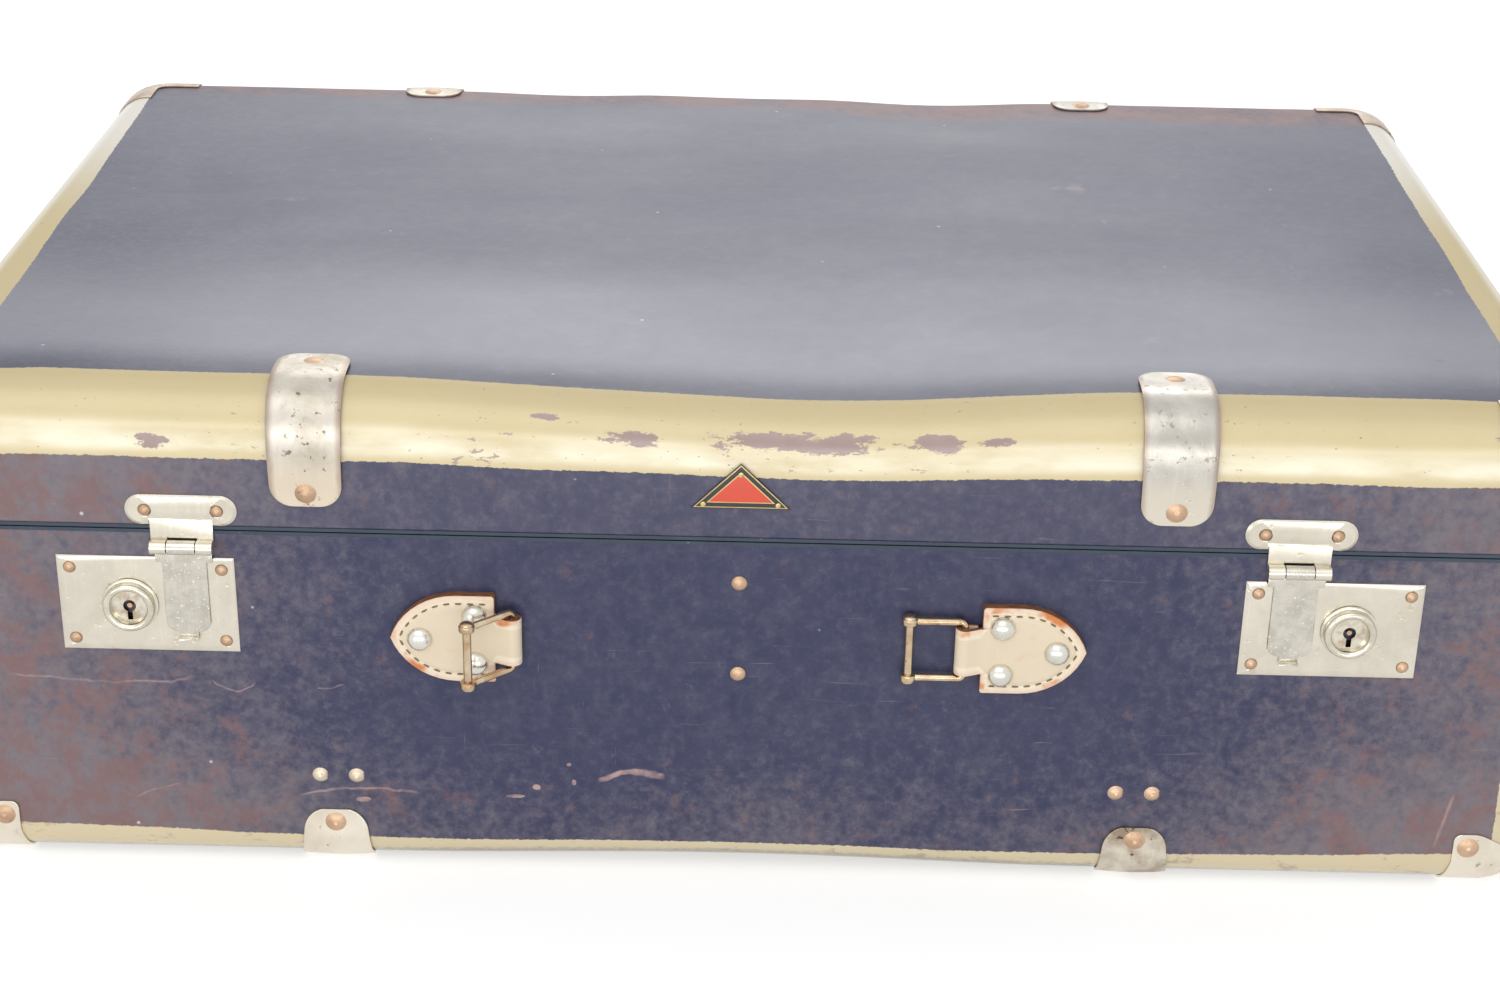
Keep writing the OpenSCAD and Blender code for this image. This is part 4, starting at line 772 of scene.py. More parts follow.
def sag_lid(v):
    """The front edge droops between its clamps, the rear edge waves and the top is uneven."""
    x, y, z = v
    height = limited((z - 0.153) / 0.050)
    from_front = max(0.0, y - FRONT - 0.017)
    droop = 6.4 * MM * (0.75 * bell(x, 0.004, 0.150) + 0.25 * bell(x, 0.060, 0.098))
    droop *= exp(-(from_front / 0.085) ** 2)
    from_rear = max(0.0, REAR - 0.016 - y)
    wave = (2.2 * bell(x, 0.088, 0.062) + 1.1 * bell(x, -0.098, 0.05) + 0.7 * bell(x, 0.0, 0.06)) * MM
    wave *= exp(-(from_rear / 0.06) ** 2)
    inner = limited(min(y - FRONT, REAR - y, lid_high.x - x, x - lid_low.x) / 0.07)
    ripple = abs(noise.noise(Vector((x * 14, z * 20, 5.1)))) * 0.5 * MM * height
    ripple *= exp(-((y - FRONT) / 0.012) ** 2)
    v.z += (uneven_top(x, y) * inner * hold(x, y) - droop - wave) * height
    v.y += front_lean(x, y, z) + ripple * hold(x, y) * (1 - bell(x, 0, 0.04))


def bow_base(v):
    """The bottom edge bows up between the feet and the front wall is a little uneven."""
    x, y, z = v
    low = max(0.0, 1 - max(0.0, z - 0.004) / 0.05)
    edge = exp(-(min(y - FRONT, REAR - y) / 0.05) ** 2)
    v.z += 2.6 * MM * bell(x, 0, 0.135) * low * edge
    if y < FRONT + 0.001 and z > 0.03:
        calm = min(1.0, (base_high.z - z) / 0.03) * bell(x, 0, 0.07)
        v.y += noise.noise(Vector((x * 12, z * 22, 1.3))) * 0.3 * MM * calm


def slice_all(bm, place, facing):
    bmesh.ops.bisect_plane(bm, geom=bm.verts[:] + bm.edges[:] + bm.faces[:], dist=1e-6,
                           plane_co=place, plane_no=facing)


def tray(low, high, corner, roll, mouth_up, move):
    bm = bmesh.new()
    bmesh.ops.create_cube(bm, size=1)
    size, middle = high - low, (high + low) / 2
    bmesh.ops.scale(bm, vec=size, verts=bm.verts)
    bmesh.ops.translate(bm, vec=middle, verts=bm.verts)
    mouth, shut = (high.z, low.z) if mouth_up else (low.z, high.z)
    bevel(bm, [e for e in bm.edges if abs(e.verts[0].co.z - e.verts[1].co.z) > size.z / 2], corner, 10)
    bevel(bm, [e for e in bm.edges if all(abs(v.co.z - shut) < 1e-6 for v in e.verts)], roll, 14)
    lost = [f for f in bm.faces if all(abs(v.co.z - mouth) < 1e-6 for v in f.verts)]
    bmesh.ops.delete(bm, geom=lost, context="FACES")
    for axis, step in ((0, 0.011), (1, 0.012), (2, 0.011)):
        reach = size[axis] / 2 - (corner if axis < 2 else roll)
        count = max(2, int(2 * reach / step))
        for i in range(count + 1):
            place = middle.copy()
            place[axis] += -reach + 2 * reach * i / count
            facing = Vector((0, 0, 0))
            facing[axis] = 1
            slice_all(bm, place, facing)
    slice_all(bm, (0, 0, mouth + (-1 if mouth_up else 1) * 0.5 * MM), (0, 0, 1))
    form = bm.verts.layers.float_vector.new("form")
    for v in bm.verts:
        v[form] = v.co
        move(v.co)
    return bm


def inset_box(low, high, side, bottom, top):
    return low + Vector((side, side, bottom)), high - Vector((side, side, top))


def pressed_tray(name, node, body, slot, finish, box, inset, thickness):
    """A tray of thin sheet: the lid's opens downward and sags, the base's opens upward and bows."""
    roll, mouth_up, move = (LID_ROLL, False, sag_lid) if body == "lid" else (BASE_ROLL, True, bow_base)
    bm = tray(*box, CORNER - inset, roll - inset, mouth_up, move)
    piece = as_object(name, bm, finish, smooth=60)
    shell_sheet(piece, thickness)
    return fit(piece, body, slot, node)


LID_LINING_UP = 4.6 * MM
base_lining_down = base_high.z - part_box("base_lining")[1].z
lid_inside = inset_box(lid_low, lid_high, LINING_IN, LID_LINING_UP, LINING_IN)
base_inside = inset_box(base_low, base_high, LINING_IN, LINING_IN, base_lining_down)
pressed_tray("lid_skin", "lid_shell", "lid", "fibre", lid_paint, (lid_low, lid_high), 0, WALL)
pressed_tray("lid_paper", "lid_lining", "lid", "lining", paper, lid_inside, LINING_IN, LINING_T)
pressed_tray("base_skin", "base_shell", "base", "fibre", base_paint, (base_low, base_high), 0, WALL)
pressed_tray("base_paper", "base_lining", "base", "lining", paper, base_inside, LINING_IN, LINING_T)


# Bent strips: edge clamps and packing straps

# Each clamp's reach down or up the wall, its reach over the flat, and how much its wall end narrows
CLAMP_SIZES = {
    ("lid", "front"): (46 * MM, 36 * MM, 0.03),
    ("lid", "rear"): (46 * MM, 26 * MM, 0.03),
    ("foot", "front"): (24.8 * MM, 28 * MM, 0.16),
    ("foot", "rear"): (24.8 * MM, 28 * MM, 0.16),
}
CLAMP_HALF, CLAMP_END_R, CLAMP_CROWN, CLAMP_T = 14.2 * MM, 9 * MM, 1.1 * MM, 0.95 * MM
CLAMP_STEPS = 56
STRAP_IN, STRAP_TOP, STRAP_HALF, STRAP_T = 3.4 * MM, 50 * MM, 12.5 * MM, 1.2 * MM


def bent_strip(stations, across=12):
    """A grid laid on stations of (point, outward, half width, crown)."""
    bm = bmesh.new()
    last = len(stations) - 1
    bmesh.ops.create_grid(bm, x_segments=across, y_segments=last, size=0.5)
    for v in bm.verts:
        over = v.co.x * 2
        point, outward, half, crown = stations[round((v.co.y + 0.5) * last)]
        v.co = point + half * over + outward * crown * (1 - over * over)
    bm.normal_update()
    middle = len(stations) // 2 * across + across // 2
    bm.faces.ensure_lookup_table()
    if bm.faces[middle].normal.dot(stations[len(stations) // 2][1]) < 0:
        bmesh.ops.reverse_faces(bm, faces=bm.faces)
    return bm


def sprung_path(lid, wall_run, length):
    """Places inward from the wall and away from the flat, along a strap sprung over a rolled edge."""
    roll, spring, rounds = (LID_ROLL, 2.1, 40) if lid else (BASE_ROLL, 0.7, 12)
    path = []
    for i in range(CLAMP_STEPS + 1):
        run = length * i / CLAMP_STEPS
        turn = min(max((run - wall_run) / roll, 0), pi / 2)
        loose = 1 if lid else cos(turn)
        gap = (0.15 + spring * sin(pi * i / CLAMP_STEPS) ** 2 * loose) * MM
        path.append(Vector((roll - (roll + gap) * cos(turn) + max(0, run - wall_run - roll * pi / 2),
                            roll - (roll + gap) * sin(turn) + max(0, wall_run - run))))
    for _ in range(rounds):
        path[1:-1] = [(path[i - 1] + path[i] * 2 + path[i + 1]) / 4 for i in range(1, CLAMP_STEPS)]
    return path


def edge_clamp(kind, edge, side, finish):
    """A crowned strap sprung over a rolled edge, its ends rounded."""
    lid, rear = kind == "lid", edge == "rear"
    wall_reach, flat_reach, flare = CLAMP_SIZES[kind, edge]
    roll = LID_ROLL if lid else BASE_ROLL
    x = SIDES[side] * (LID_CLAMP_X if lid else FOOT_CLAMP_X)
    wall_run, arc = wall_reach - roll, roll * pi / 2
    length = wall_run + arc + flat_reach - roll
    path = sprung_path(lid, wall_run, length)
    stations = []
    for i in range(CLAMP_STEPS + 1):
        share = 0.5 - 0.5 * cos(pi * i / CLAMP_STEPS)
        at = min(int(share * CLAMP_STEPS), CLAMP_STEPS - 1)
        inward, away = path[at].lerp(path[at + 1], share * CLAMP_STEPS - at)
        along = (path[min(at + 2, CLAMP_STEPS)] - path[max(at - 1, 0)]).normalized()
        y = REAR - inward if rear else FRONT + inward
        z = TOP - away if lid else base_low.z + away
        if lid and not rear:
            y += front_lean(x, y, z)
        outward = Vector((0, along.y * (-1 if rear else 1), along.x * (1 if lid else -1)))
        run = length * share
        tip = max(0, CLAMP_END_R - min(run, length - run))
        width = CLAMP_HALF - CLAMP_END_R + sqrt(max(0, CLAMP_END_R * CLAMP_END_R - tip * tip))
        width *= 1 - flare * (1 - min(1, run / (wall_run + arc * 0.5)))
        rise = CLAMP_CROWN * sin(pi * share) ** 2 * (1 if lid else max(0, -along.y))
        stations.append((Vector((x, y, z)), outward, Vector((width, 0, 0)), rise))
    bm = bent_strip(stations)
    rim = bm.verts.layers.float.new("rim")
    for v in bm.verts:
        v[rim] = CLAMP_HALF - abs(v.co.x - x)
    piece = as_object(f"{kind}_strap_{edge}_{side}", bm, finish, smooth=50)
    shell_sheet(piece, CLAMP_T, 1, 0.4 * MM)
    return fit(piece, "lid" if lid else "base", "nickel", f"{kind}_clamp_{edge}_{side}")


for side in SIDES:
    for edge in ("front", "rear"):
        edge_clamp("lid", edge, side, bright_clamp if side == "right" else clamp_nickel)
    edge_clamp("foot", "front", side, dark_foot if side == "right" else foot_nickel)
    edge_clamp("foot", "rear", side, foot_nickel)


def packing_strap(side):
    """Webbing up the front wall, over the floor and up the rear wall."""
    bend, floor = BASE_ROLL - STRAP_IN, base_low.z + STRAP_IN
    x = SIDES[side] * STRAP_X
    drops, bends, spans = 5, 8, 24
    ends = []
    for wall, outward in ((FRONT + STRAP_IN, 1), (REAR - STRAP_IN, -1)):
        path = []
        for i in range(drops):
            height = STRAP_TOP - (STRAP_TOP - floor - bend) * i / drops
            path.append((Vector((x, wall, height)), Vector((0, outward, 0))))
        for i in range(bends + 1):
            turn = pi / 2 * i / bends
            at = Vector((x, wall + outward * bend * (1 - cos(turn)), floor + bend * (1 - sin(turn))))
            path.append((at, Vector((0, outward * cos(turn), sin(turn)))))
        ends.append(path)
    start, reach = FRONT + STRAP_IN + bend, REAR - FRONT - 2 * STRAP_IN - 2 * bend
    span = [(Vector((x, start + reach * i / spans, floor)), Vector((0, 0, 1))) for i in range(1, spans)]
    half = Vector((STRAP_HALF, 0, 0))
    stations = [(at, outward, half, 0.25 * MM) for at, outward in ends[0] + span + ends[1][::-1]]
    piece = as_object(f"webbing_strap_{side}", bent_strip(stations, 8), cotton, smooth=50)
    shell_sheet(piece, STRAP_T, 1, 0.4 * MM)
    return fit(piece, "base", "webbing", f"packing_strap_{side}")


# Leather tabs, drawn to the right and mirrored for the left

BUCKLE_X, HANDLE_Z, LOOP_R = 88 * MM, 106.8 * MM, 3.7 * MM
SHOULDER_X, SHIELD_H, SHIELD_T = 94.8 * MM, 37.6 * MM, 4.4 * MM
POINT_X, POINT_R = SHOULDER_X + 15 * MM, 27.379 * MM
POINT_DROP = POINT_R - SHIELD_H / 2
SHIELD_ROUND, NECK_HALF, NECK_T = 0.9 * MM, 10 * MM, 2.0 * MM
STITCH_IN, STITCH_PITCH, STITCH_SIZE = 3.4 * MM, 4.6 * MM, (3.0 * MM, 0.55 * MM, 0.8 * MM)
# Rings of the shield's face inwards from its rounded edge, in millimetres: width, rise
SHIELD_RINGS = ((1.9, 0), (0.3, -0.3), (0.6, 0), (0.3, 0.3), (1.6, 0.2), (0.5, 0))
# The neck's way off the shield, in millimetres past the shoulder and above the face, with slope and crown
NECK_ROOT = (
    (8.0, -0.35, 0, 0),
    (4.6, 0.02, 0.1, 0.35),
    (1.6, 0.25, 0.1, 0.45),
    (-0.9, 0.75, 0.25, 0.3),
    (-2.4, 1.5, 0.4, 0),
)
# The shield's rivets, in millimetres from the buckle's pin: along x, up
TAB_RIVETS = ((14.6, 10.2), (14.6, -10.2), (36.2, 0))
DOME_SIZE = (5.06 * MM, 4.06 * MM, 5.06 * MM)


def settle(bm, side):
    """Lifts a tab piece to the handle's height and mirrors it for the left."""
    bmesh.ops.translate(bm, vec=(0, 0, HANDLE_Z), verts=bm.verts)
    bmesh.ops.scale(bm, vec=(SIDES[side], 1, 1), verts=bm.verts)
    if SIDES[side] < 0:
        bmesh.ops.reverse_faces(bm, faces=bm.faces)
    return bm


def shield_face(bm, back):
    """The shield's outline, square at the shoulder and pointed: one half is drawn and mirrored."""
    shoulder = bm.verts.new((SHOULDER_X, back, SHIELD_H / 2))
    turn = bm.verts.new((POINT_X, back, SHIELD_H / 2))
    bm.edges.new((shoulder, turn))
    reach = pi / 2 - asin(POINT_DROP / POINT_R)
    bmesh.ops.spin(bm, geom=[turn], cent=(POINT_X, back, -POINT_DROP), axis=(0, 1, 0), angle=reach, steps=9)
    bmesh.ops.mirror(bm, geom=bm.verts[:] + bm.edges[:], axis="Z", merge_dist=2e-5)
    bmesh.ops.remove_doubles(bm, verts=bm.verts, dist=2e-5)
    bm.edges.new(sorted(bm.verts, key=lambda v: v.co.x)[:2])
    return bmesh.ops.contextual_create(bm, geom=bm.edges[:])["faces"][0]


def leather_shield(side):
    bm = bmesh.new()
    gap = 0.1 * MM
    grow_forward(bm, shield_face(bm, FRONT - gap), SHIELD_T - gap)
    upright = [e for e in bm.edges
               if abs(e.verts[0].co.y - e.verts[1].co.y) > SHIELD_T / 2 and e.calc_face_angle() > 0.8]
    bevel(bm, list(front_face(bm).edges) + upright, SHIELD_ROUND, 4)
    bm.normal_update()
    rim = bm.verts.layers.float.new("rim")
    top = front_face(bm)
    depth = SHIELD_ROUND
    for width, rise in SHIELD_RINGS:
        for v in top.verts:
            v[rim] = depth
        bmesh.ops.inset_region(bm, faces=[top], thickness=width * MM, depth=rise * MM, use_even_offset=True)
        depth += width * MM
    for v in top.verts:
        v[rim] = depth
    for face in bm.faces:
        face.material_index = 1 if abs(face.normal.y) < 0.55 else 0
    piece = as_object(f"leather_shield_{side}", settle(bm, side), hide, raw_hide)
    return fit(piece, "base", "hide", f"handle_tab_{side}")


def leather_neck(side):
    """The tab's tongue of leather, looped round the buckle's wire."""
    behind = FRONT - 0.05 * MM
    centre = Vector((BUCKLE_X, behind - LOOP_R, 0))
    path = []
    for off, lift, slope, crown in NECK_ROOT:
        at = Vector((SHOULDER_X + off * MM, FRONT - SHIELD_T - lift * MM, 0))
        path.append((at, Vector((slope, -1, 0)), crown * MM))
    for i in range(19):
        turn = radians(64 + 206 * i / 18)
        outward = Vector((cos(turn), -sin(turn), 0))
        path.append((centre + outward * LOOP_R, outward, 0))
    path.append((Vector((SHOULDER_X - 1.5 * MM, behind, 0)), Vector((0, 1, 0)), 0))
    half = Vector((0, 0, NECK_HALF))
    bm = bent_strip([(at, outward.normalized(), half, crown) for at, outward, crown in path], 10)
    rim = bm.verts.layers.float.new("rim")
    for v in bm.verts:
        v[rim] = NECK_HALF - abs(v.co.z) + max(0, v.co.x - SHOULDER_X) * 2
    piece = as_object(f"leather_neck_{side}", settle(bm, side), hide, raw_hide, smooth=60)
    shell_sheet(piece, NECK_T, -1, 0.5 * MM)
    piece.modifiers["sheet"].material_offset_rim = 1
    return fit(piece, "base", "hide", f"handle_tab_{side}")


def tab_stitches(side):
    bm = bmesh.new()
    radius = POINT_R - STITCH_IN
    reach = pi / 2 - asin(POINT_DROP / radius)
    straight = POINT_X - SHOULDER_X - 2.4 * MM
    count = int((straight + radius * reach) / STITCH_PITCH)
    pitch = (straight + radius * reach) / count
    for half in (1, -1):
        for i in range(count):
            run = pitch * (i + 0.5) - straight
            swing = max(0, run) / radius
            x = POINT_X + (radius * sin(swing) if run > 0 else run)
            z = half * (radius * cos(swing) - POINT_DROP)
            place = Matrix.Translation((x, FRONT - SHIELD_T + 0.12 * MM, z))
            place @= Matrix.Rotation(half * swing, 4, "Y") @ Matrix.Diagonal((*STITCH_SIZE, 1))
            bmesh.ops.create_uvsphere(bm, u_segments=6, v_segments=4, radius=0.5, matrix=place)
    piece = as_object(f"tab_stitches_{side}", settle(bm, side), waxed, smooth=80)
    return fit(piece, "base", "hide")


# Buckles

BUCKLE_REACH, BUCKLE_OUT, BAR_LENGTH = 21.5 * MM, 3.76 * MM, 27.6 * MM
BUCKLE_REST = {"left": radians(138), "right": 0}
ARM_Z, ARM_BEND, WIRE_R, BAR_R = 12.3 * MM, 2 * MM, 1.5 * MM, 1.7 * MM
EYE_R, EYE_T, KNOB_SIZE = 3.2 * MM, 2.8 * MM, (2.8 * MM, 2.8 * MM, 1.3 * MM)


def round_wire(path, radius, across, around=16):
    """A wire along a flat path, whose plane faces across."""
    bm = bmesh.new()
    last = len(path) - 1
    bmesh.ops.create_grid(bm, x_segments=around, y_segments=last, size=0.5)
    for v in bm.verts:
        i = round((v.co.y + 0.5) * last)
        along = (path[min(i + 1, last)] - path[max(i - 1, 0)]).normalized()
        turn = 2 * pi * v.co.x
        v.co = path[i] + radius * (cos(turn) * across + sin(turn) * along.cross(across))
    bmesh.ops.remove_doubles(bm, verts=bm.verts, dist=1e-6)
    bmesh.ops.holes_fill(bm, edges=[e for e in bm.edges if e.is_boundary], sides=0)
    bmesh.ops.recalc_face_normals(bm, faces=bm.faces)
    return bm


def hang_buckle(bm, side):
    """Turns a buckle to its own resting angle and hangs it in its tab."""
    turn = Matrix.Rotation(BUCKLE_REST[side], 3, "Z")
    bmesh.ops.rotate(bm, cent=(0, 0, 0), matrix=turn, verts=bm.verts)
    bmesh.ops.translate(bm, vec=(BUCKLE_X, FRONT - BUCKLE_OUT, 0), verts=bm.verts)
    return settle(bm, side)


def buckle_wire(side):
    """A wire bent to a narrow U, with an eye at each end of its arms."""
    steps = 8
    half = []
    for i in range(steps):
        half.append(Vector((-BUCKLE_REACH * (1 - i / steps) - ARM_BEND * i / steps, 0, ARM_Z)))
    for i in range(steps + 1):
        turn = pi / 2 * i / steps
        half.append(Vector((-ARM_BEND + ARM_BEND * sin(turn), 0, ARM_Z - ARM_BEND + ARM_BEND * cos(turn))))
    path = half + [Vector((p.x, 0, -p.z)) for p in reversed(half)]
    bm = round_wire(path, WIRE_R, Vector((0, 1, 0)))
    for end in (ARM_Z, -ARM_Z):
        place = Matrix.Translation((-BUCKLE_REACH, 0, end))
        made = bmesh.ops.create_cone(bm, cap_ends=True, segments=24, radius1=EYE_R, radius2=EYE_R,
                                     depth=EYE_T, matrix=place)
        rims = {e for v in made["verts"] for e in v.link_edges if e.calc_face_angle() > 1}
        bevel(bm, list(rims), 0.6 * MM, 3)
    piece = as_object(f"buckle_wire_{side}", hang_buckle(bm, side), buckle_metal)
    return fit(piece, f"buckle_{side}", "buckle", f"buckle_frame_{side}")


def buckle_cross(side):
    """The bar between the eyes, with a low round knob at each end."""
    bm = bmesh.new()
    bmesh.ops.create_cone(bm, cap_ends=True, segments=20, radius1=BAR_R, radius2=BAR_R, depth=BAR_LENGTH,
                          matrix=Matrix.Translation((-BUCKLE_REACH, 0, 0)))
    for end in (1, -1):
        place = Matrix.Translation((-BUCKLE_REACH, 0, end * BAR_LENGTH / 2))
        place @= Matrix.Diagonal((*KNOB_SIZE, 1))
        bmesh.ops.create_uvsphere(bm, u_segments=20, v_segments=10, radius=1, matrix=place)
    piece = as_object(f"buckle_cross_{side}", hang_buckle(bm, side), buckle_metal)
    return fit(piece, f"buckle_{side}", "buckle", f"buckle_bar_{side}")


# Metal fittings with broken edges, and the badge

def broad_heads(name, node, body, finish):
    """Rivets whose heads are broad and low on the clamps, feet and corner caps."""
    breadth, near_clamp, near_face, near_corner = 1.4, 8 * MM, 8 * MM, 290 * MM
    bm = softened(node)
    loose = dict.fromkeys(bm.verts)
    while loose:
        found = [loose.popitem()[0]]
        for v in found:
            near = [other for other in (e.other_vert(v) for e in v.link_edges) if other in loose]
            found.extend(near)
            for other in near:
                del loose[other]
        middle = sum((v.co for v in found), Vector()) / len(found)
        across = abs(middle.x)
        off_clamp = min(abs(across - LID_CLAMP_X), abs(across - FOOT_CLAMP_X))
        if off_clamp < near_clamp or across > near_corner:
            wide = Vector((breadth, breadth, breadth))
            upright = middle.z > TOP - near_face or middle.z < 6 * MM
            on_end = across > base_high.x - near_face
            wide[2 if upright else 0 if on_end else 1] = 1
            bmesh.ops.scale(bm, vec=wide, space=Matrix.Translation(-middle), verts=found)
    return fit(as_object(name, bm, finish, smooth=32), body, "copper", node)


def soft_metal(name, node, body, slot, finish, width=0, pillow=0):
    piece = as_object(name, softened(node, width, pillow), finish, smooth=32)
    if width or pillow:
        piece.modifiers.new("even", "WEIGHTED_NORMAL").keep_sharp = True
    return fit(piece, body, slot, node)


# A knob's disc above its back, its keyhole's round and slot, and the keyhole's depth, in millimetres
DISC_UP, HOLE_R, SLOT_HALF, SLOT_LOW, HOLE_DEEP = 1.6, 2.5, 1, -6, 1.2


def knob_profile(shank):
    """Radius and height in millimetres, from the shank's end round the collar to the dished disc."""
    profile = [(4.5, shank), (4.5, 0), (11, 0), (11, 0.7), (10.7, 1), (10.2, 1.05), (10.2, 3.05)]
    profile += [(8.65 + 1.55 * cos(pi * i / 12), 3.05 + 1.55 * sin(pi * i / 12)) for i in range(1, 13)]
    return profile + [(7.1, DISC_UP), (6.6, DISC_UP)]


def keyhole_outline():
    """A round with a slot below, in millimetres."""
    bend = asin(SLOT_HALF / HOLE_R)
    outline = [(-SLOT_HALF, SLOT_LOW), (SLOT_HALF, SLOT_LOW)]
    for i in range(21):
        turn = -pi / 2 + bend + 2 * (pi - bend) * i / 20
        outline.append((HOLE_R * cos(turn), HOLE_R * sin(turn)))
    return outline


def lock_button(side):
    """A round knob: half-round collar, dished disc with a keyhole and a hollow shank."""
    low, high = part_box(f"lock_knob_{side}")
    middle = (low + high) / 2
    back = low.y + 4.6 * MM
    profile = knob_profile((back - high.y) / MM)
    bm = bmesh.new()
    last = len(profile) - 1
    bmesh.ops.create_grid(bm, x_segments=last, y_segments=56, size=0.5)
    for v in bm.verts:
        radius, height = profile[round((v.co.x + 0.5) * last)]
        turn = 2 * pi * v.co.y
        v.co = (middle.x + radius * MM * cos(turn), back - height * MM, middle.z + radius * MM * sin(turn))
    bmesh.ops.remove_doubles(bm, verts=bm.verts, dist=1e-6)
    disc = back - DISC_UP * MM
    rim = [e for e in bm.edges if e.is_boundary and abs(e.verts[0].co.y - disc) < 1e-5]
    corners = [bm.verts.new((middle.x + x * MM, disc, middle.z + z * MM)) for x, z in keyhole_outline()]
    hole = [bm.edges.new((corners[i - 1], corners[i])) for i in range(len(corners))]
    bmesh.ops.triangle_fill(bm, use_beauty=True, edges=rim + hole)
    deep = bmesh.ops.extrude_edge_only(bm, edges=hole)["geom"]
    bmesh.ops.translate(bm, vec=(0, HOLE_DEEP * MM, 0), verts=verts_of(deep))
    bmesh.ops.recalc_face_normals(bm, faces=bm.faces)
    piece = as_object(f"lock_button_{side}", bm, knob_nickel)
    return fit(piece, f"lock_slide_{side}", "nickel", f"lock_knob_{side}")


def return_spring(side):
    """The bent leaf behind a knob."""
    node = f"lock_spring_{side}"
    piece = as_object(f"return_spring_{side}", softened(node), steel)
    fit(piece, "base", "spring", node)
    low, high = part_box(node)
    slide = next(j for j in frame["joints"] if j["name"] == f"lock_{side}_slide")
    fixed = high if SIDES[side] > 0 else low
    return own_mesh(piece, slide["name"], (1, 0, 0), fixed, 1 - slide["range_m"][1] / (high.x - low.x))


# A cap's ear, its dip at the upright edge, its lap on the flat, its side past the corner's round,
# how much wider it gets over the roll, and the rounding of its ears
CAP_EAR, CAP_DIP, CAP_LAP = 13 * MM, 9 * MM, 2 * MM
CAP_SIDE, CAP_SPREAD, CAP_ROUND = 11 * MM, 3 * MM, 3 * MM
CAP_GAP, CAP_T = 0.15 * MM, 0.85 * MM


def cap_place(over, down, roll):
    """A place on a cap, from -1 to 1 round the corner and from 0 to 1 over the edge."""
    half_arc, arc = CORNER * pi / 4, roll * pi / 2
    ear = CAP_EAR - CAP_DIP * bell(over, 0, 0.80)
    run = (ear + arc + CAP_LAP) * (0.5 - 0.5 * cos(pi * down))
    turn = min(max((run - ear) / roll, 0), pi / 2)
    inward = roll - (roll + CAP_GAP) * cos(turn) + max(0, run - ear - arc)
    away = roll - (roll + CAP_GAP) * sin(turn) + max(0, ear - run)
    tip = max(0, CAP_ROUND - run)
    rounded = sqrt(max(0, CAP_ROUND * CAP_ROUND - tip * tip)) - CAP_ROUND
    around = (half_arc + CAP_SIDE + CAP_SPREAD * sin(turn) + rounded) * over
    on_arc = min(max(around, -half_arc), half_arc)
    angle, beyond = pi / 4 + on_arc / CORNER, around - on_arc
    out_x, out_y = cos(angle), sin(angle)
    x = base_high.x - CORNER + (CORNER - inward) * out_x - out_y * max(0, beyond)
    y = REAR - MID_Y - CORNER + (CORNER - inward) * out_y + out_x * min(0, beyond)
    return x, y, away


def corner_caps(name, node, body, lid):
    """Pressed caps over the four corners: an ear each side, dipping at the upright edge."""
    roll = LID_ROLL if lid else BASE_ROLL
    bm = bmesh.new()
    for sx in (-1, 1):
        for sy in (-1, 1):
            made = bmesh.ops.create_grid(bm, x_segments=44, y_segments=26, size=1)["verts"]
            for v in made:
                x, y, away = cap_place(v.co.x, (v.co.y + 1) / 2, roll)
                v.co = (sx * x, MID_Y + sy * y, TOP - away if lid else base_low.z + away)
            faces = {f for v in made for f in v.link_faces}
            bm.normal_update()
            sample = max(faces, key=lambda f: abs(f.normal.x) + abs(f.normal.y))
            if sample.normal.x * sx + sample.normal.y * sy < 0:
                bmesh.ops.reverse_faces(bm, faces=list(faces))
    piece = as_object(name, bm, cap_nickel if lid else foot_nickel, smooth=60)
    shell_sheet(piece, CAP_T, 1, 0.3 * MM)
    return fit(piece, body, "nickel", node)


def tab_domes():
    """The tabs' rivets with smooth pearl heads."""
    bm = softened("tab_rivets")
    for sign in SIDES.values():
        for off, rise in TAB_RIVETS:
            x, z = sign * (BUCKLE_X + off * MM), HANDLE_Z + rise * MM
            place = Matrix.Translation((x, FRONT - SHIELD_T, z)) @ Matrix.Diagonal((*DOME_SIZE, 1))
            bmesh.ops.create_uvsphere(bm, u_segments=32, v_segments=16, radius=1, matrix=place)
    return fit(as_object("tab_domes", bm, bright_nickel), "base", "dome", "tab_rivets")


# Rings of the badge's face inwards from its edge: width and rise in millimetres, finish
BADGE_RINGS = ((0.35, 0, 0), (0.35, 0.1, 2), (1.7, 0, 0), (0.4, 0.1, 2))


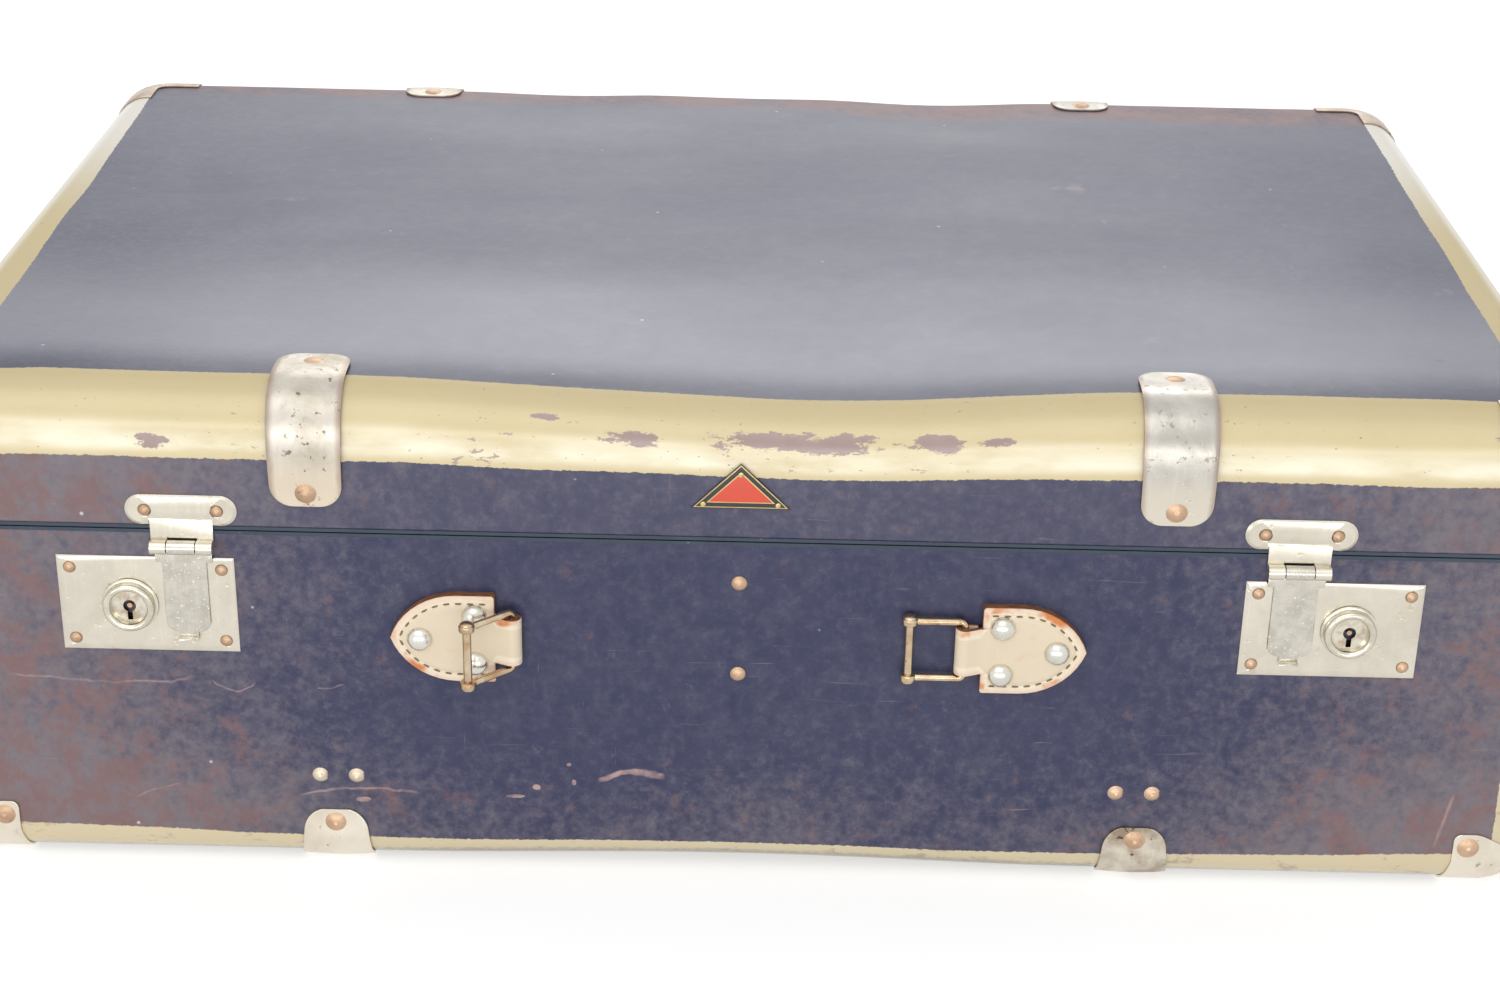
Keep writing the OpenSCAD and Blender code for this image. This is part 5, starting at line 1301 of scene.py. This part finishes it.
def badge():
    """A plain three-cornered plate: dark border, gilt line and red field."""
    low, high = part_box("badge_plate")
    bm = bmesh.new()
    outline = ((low.x, low.z), (high.x, low.z), ((low.x + high.x) / 2, high.z))
    corners = [bm.verts.new((x, high.y, z)) for x, z in outline]
    grow_forward(bm, bm.faces.new(corners), high.y - low.y)
    bmesh.ops.subdivide_edges(bm, edges=bm.edges[:], cuts=3, use_grid_fill=False)
    bmesh.ops.dissolve_limit(bm, angle_limit=0.01, verts=bm.verts, edges=bm.edges)
    top = front_face(bm)
    for width, rise, finish in BADGE_RINGS:
        ring = bmesh.ops.inset_region(bm, faces=[top], thickness=width * MM, depth=rise * MM,
                                      use_even_offset=True)["faces"]
        for around in ring:
            around.material_index = finish
    top.material_index = 1
    piece = as_object("badge_enamel", bm, badge_black, badge_red, badge_gold)
    return fit(piece, "lid", "badge", "badge_plate")


badge()
for side in SIDES:
    packing_strap(side)
    leather_shield(side)
    leather_neck(side)
    tab_stitches(side)
    soft_metal(f"lock_face_{side}", f"lock_plate_{side}", "base", "nickel", plate_nickel, pillow=0.9 * MM)
    lock_button(side)
    return_spring(side)
    soft_metal(f"hasp_top_{side}", f"hasp_plate_{side}", "lid", "nickel", plate_nickel, pillow=1.2 * MM)
    soft_metal(f"hasp_tongue_{side}", f"hasp_leaf_{side}", f"hasp_{side}", "nickel", leaf_nickel,
               pillow=0.6 * MM)
    buckle_wire(side)
    buckle_cross(side)
    frame["nodes"][f"lock_latch_{side}"].data.materials[0] = copper.material
corner_caps("base_caps", "base_corner_caps", "base", False)
corner_caps("lid_caps", "lid_corner_caps", "lid", True)
tab_domes()
small_pins = (
    ("lock_pins", "lock_rivets", "base", copper),
    ("hasp_pins", "hasp_rivets", "lid", copper),
    ("middle_pins", "board_rivets", "base", copper),
    ("strap_pins", "strap_rivets", "base", pale_copper),
    ("badge_pins", "badge_nails", "lid", badge_gold),
)
for name, node, body, finish in small_pins:
    soft_metal(name, node, body, "copper", finish)
broad_heads("base_pins", "base_rivets", "base", copper)
broad_heads("lid_pins", "lid_rivets", "lid", copper)
soft_metal("hinge_leaves_base", "hinge_base_leaves", "base", "nickel", nickel, width=0.3 * MM)
soft_metal("hinge_leaves_lid", "hinge_lid_leaves", "lid", "nickel", nickel, width=0.3 * MM)
soft_metal("strap_slides", "strap_buckles", "base", "nickel", nickel, width=0.4 * MM)

scene.view_settings.view_transform = "Standard"
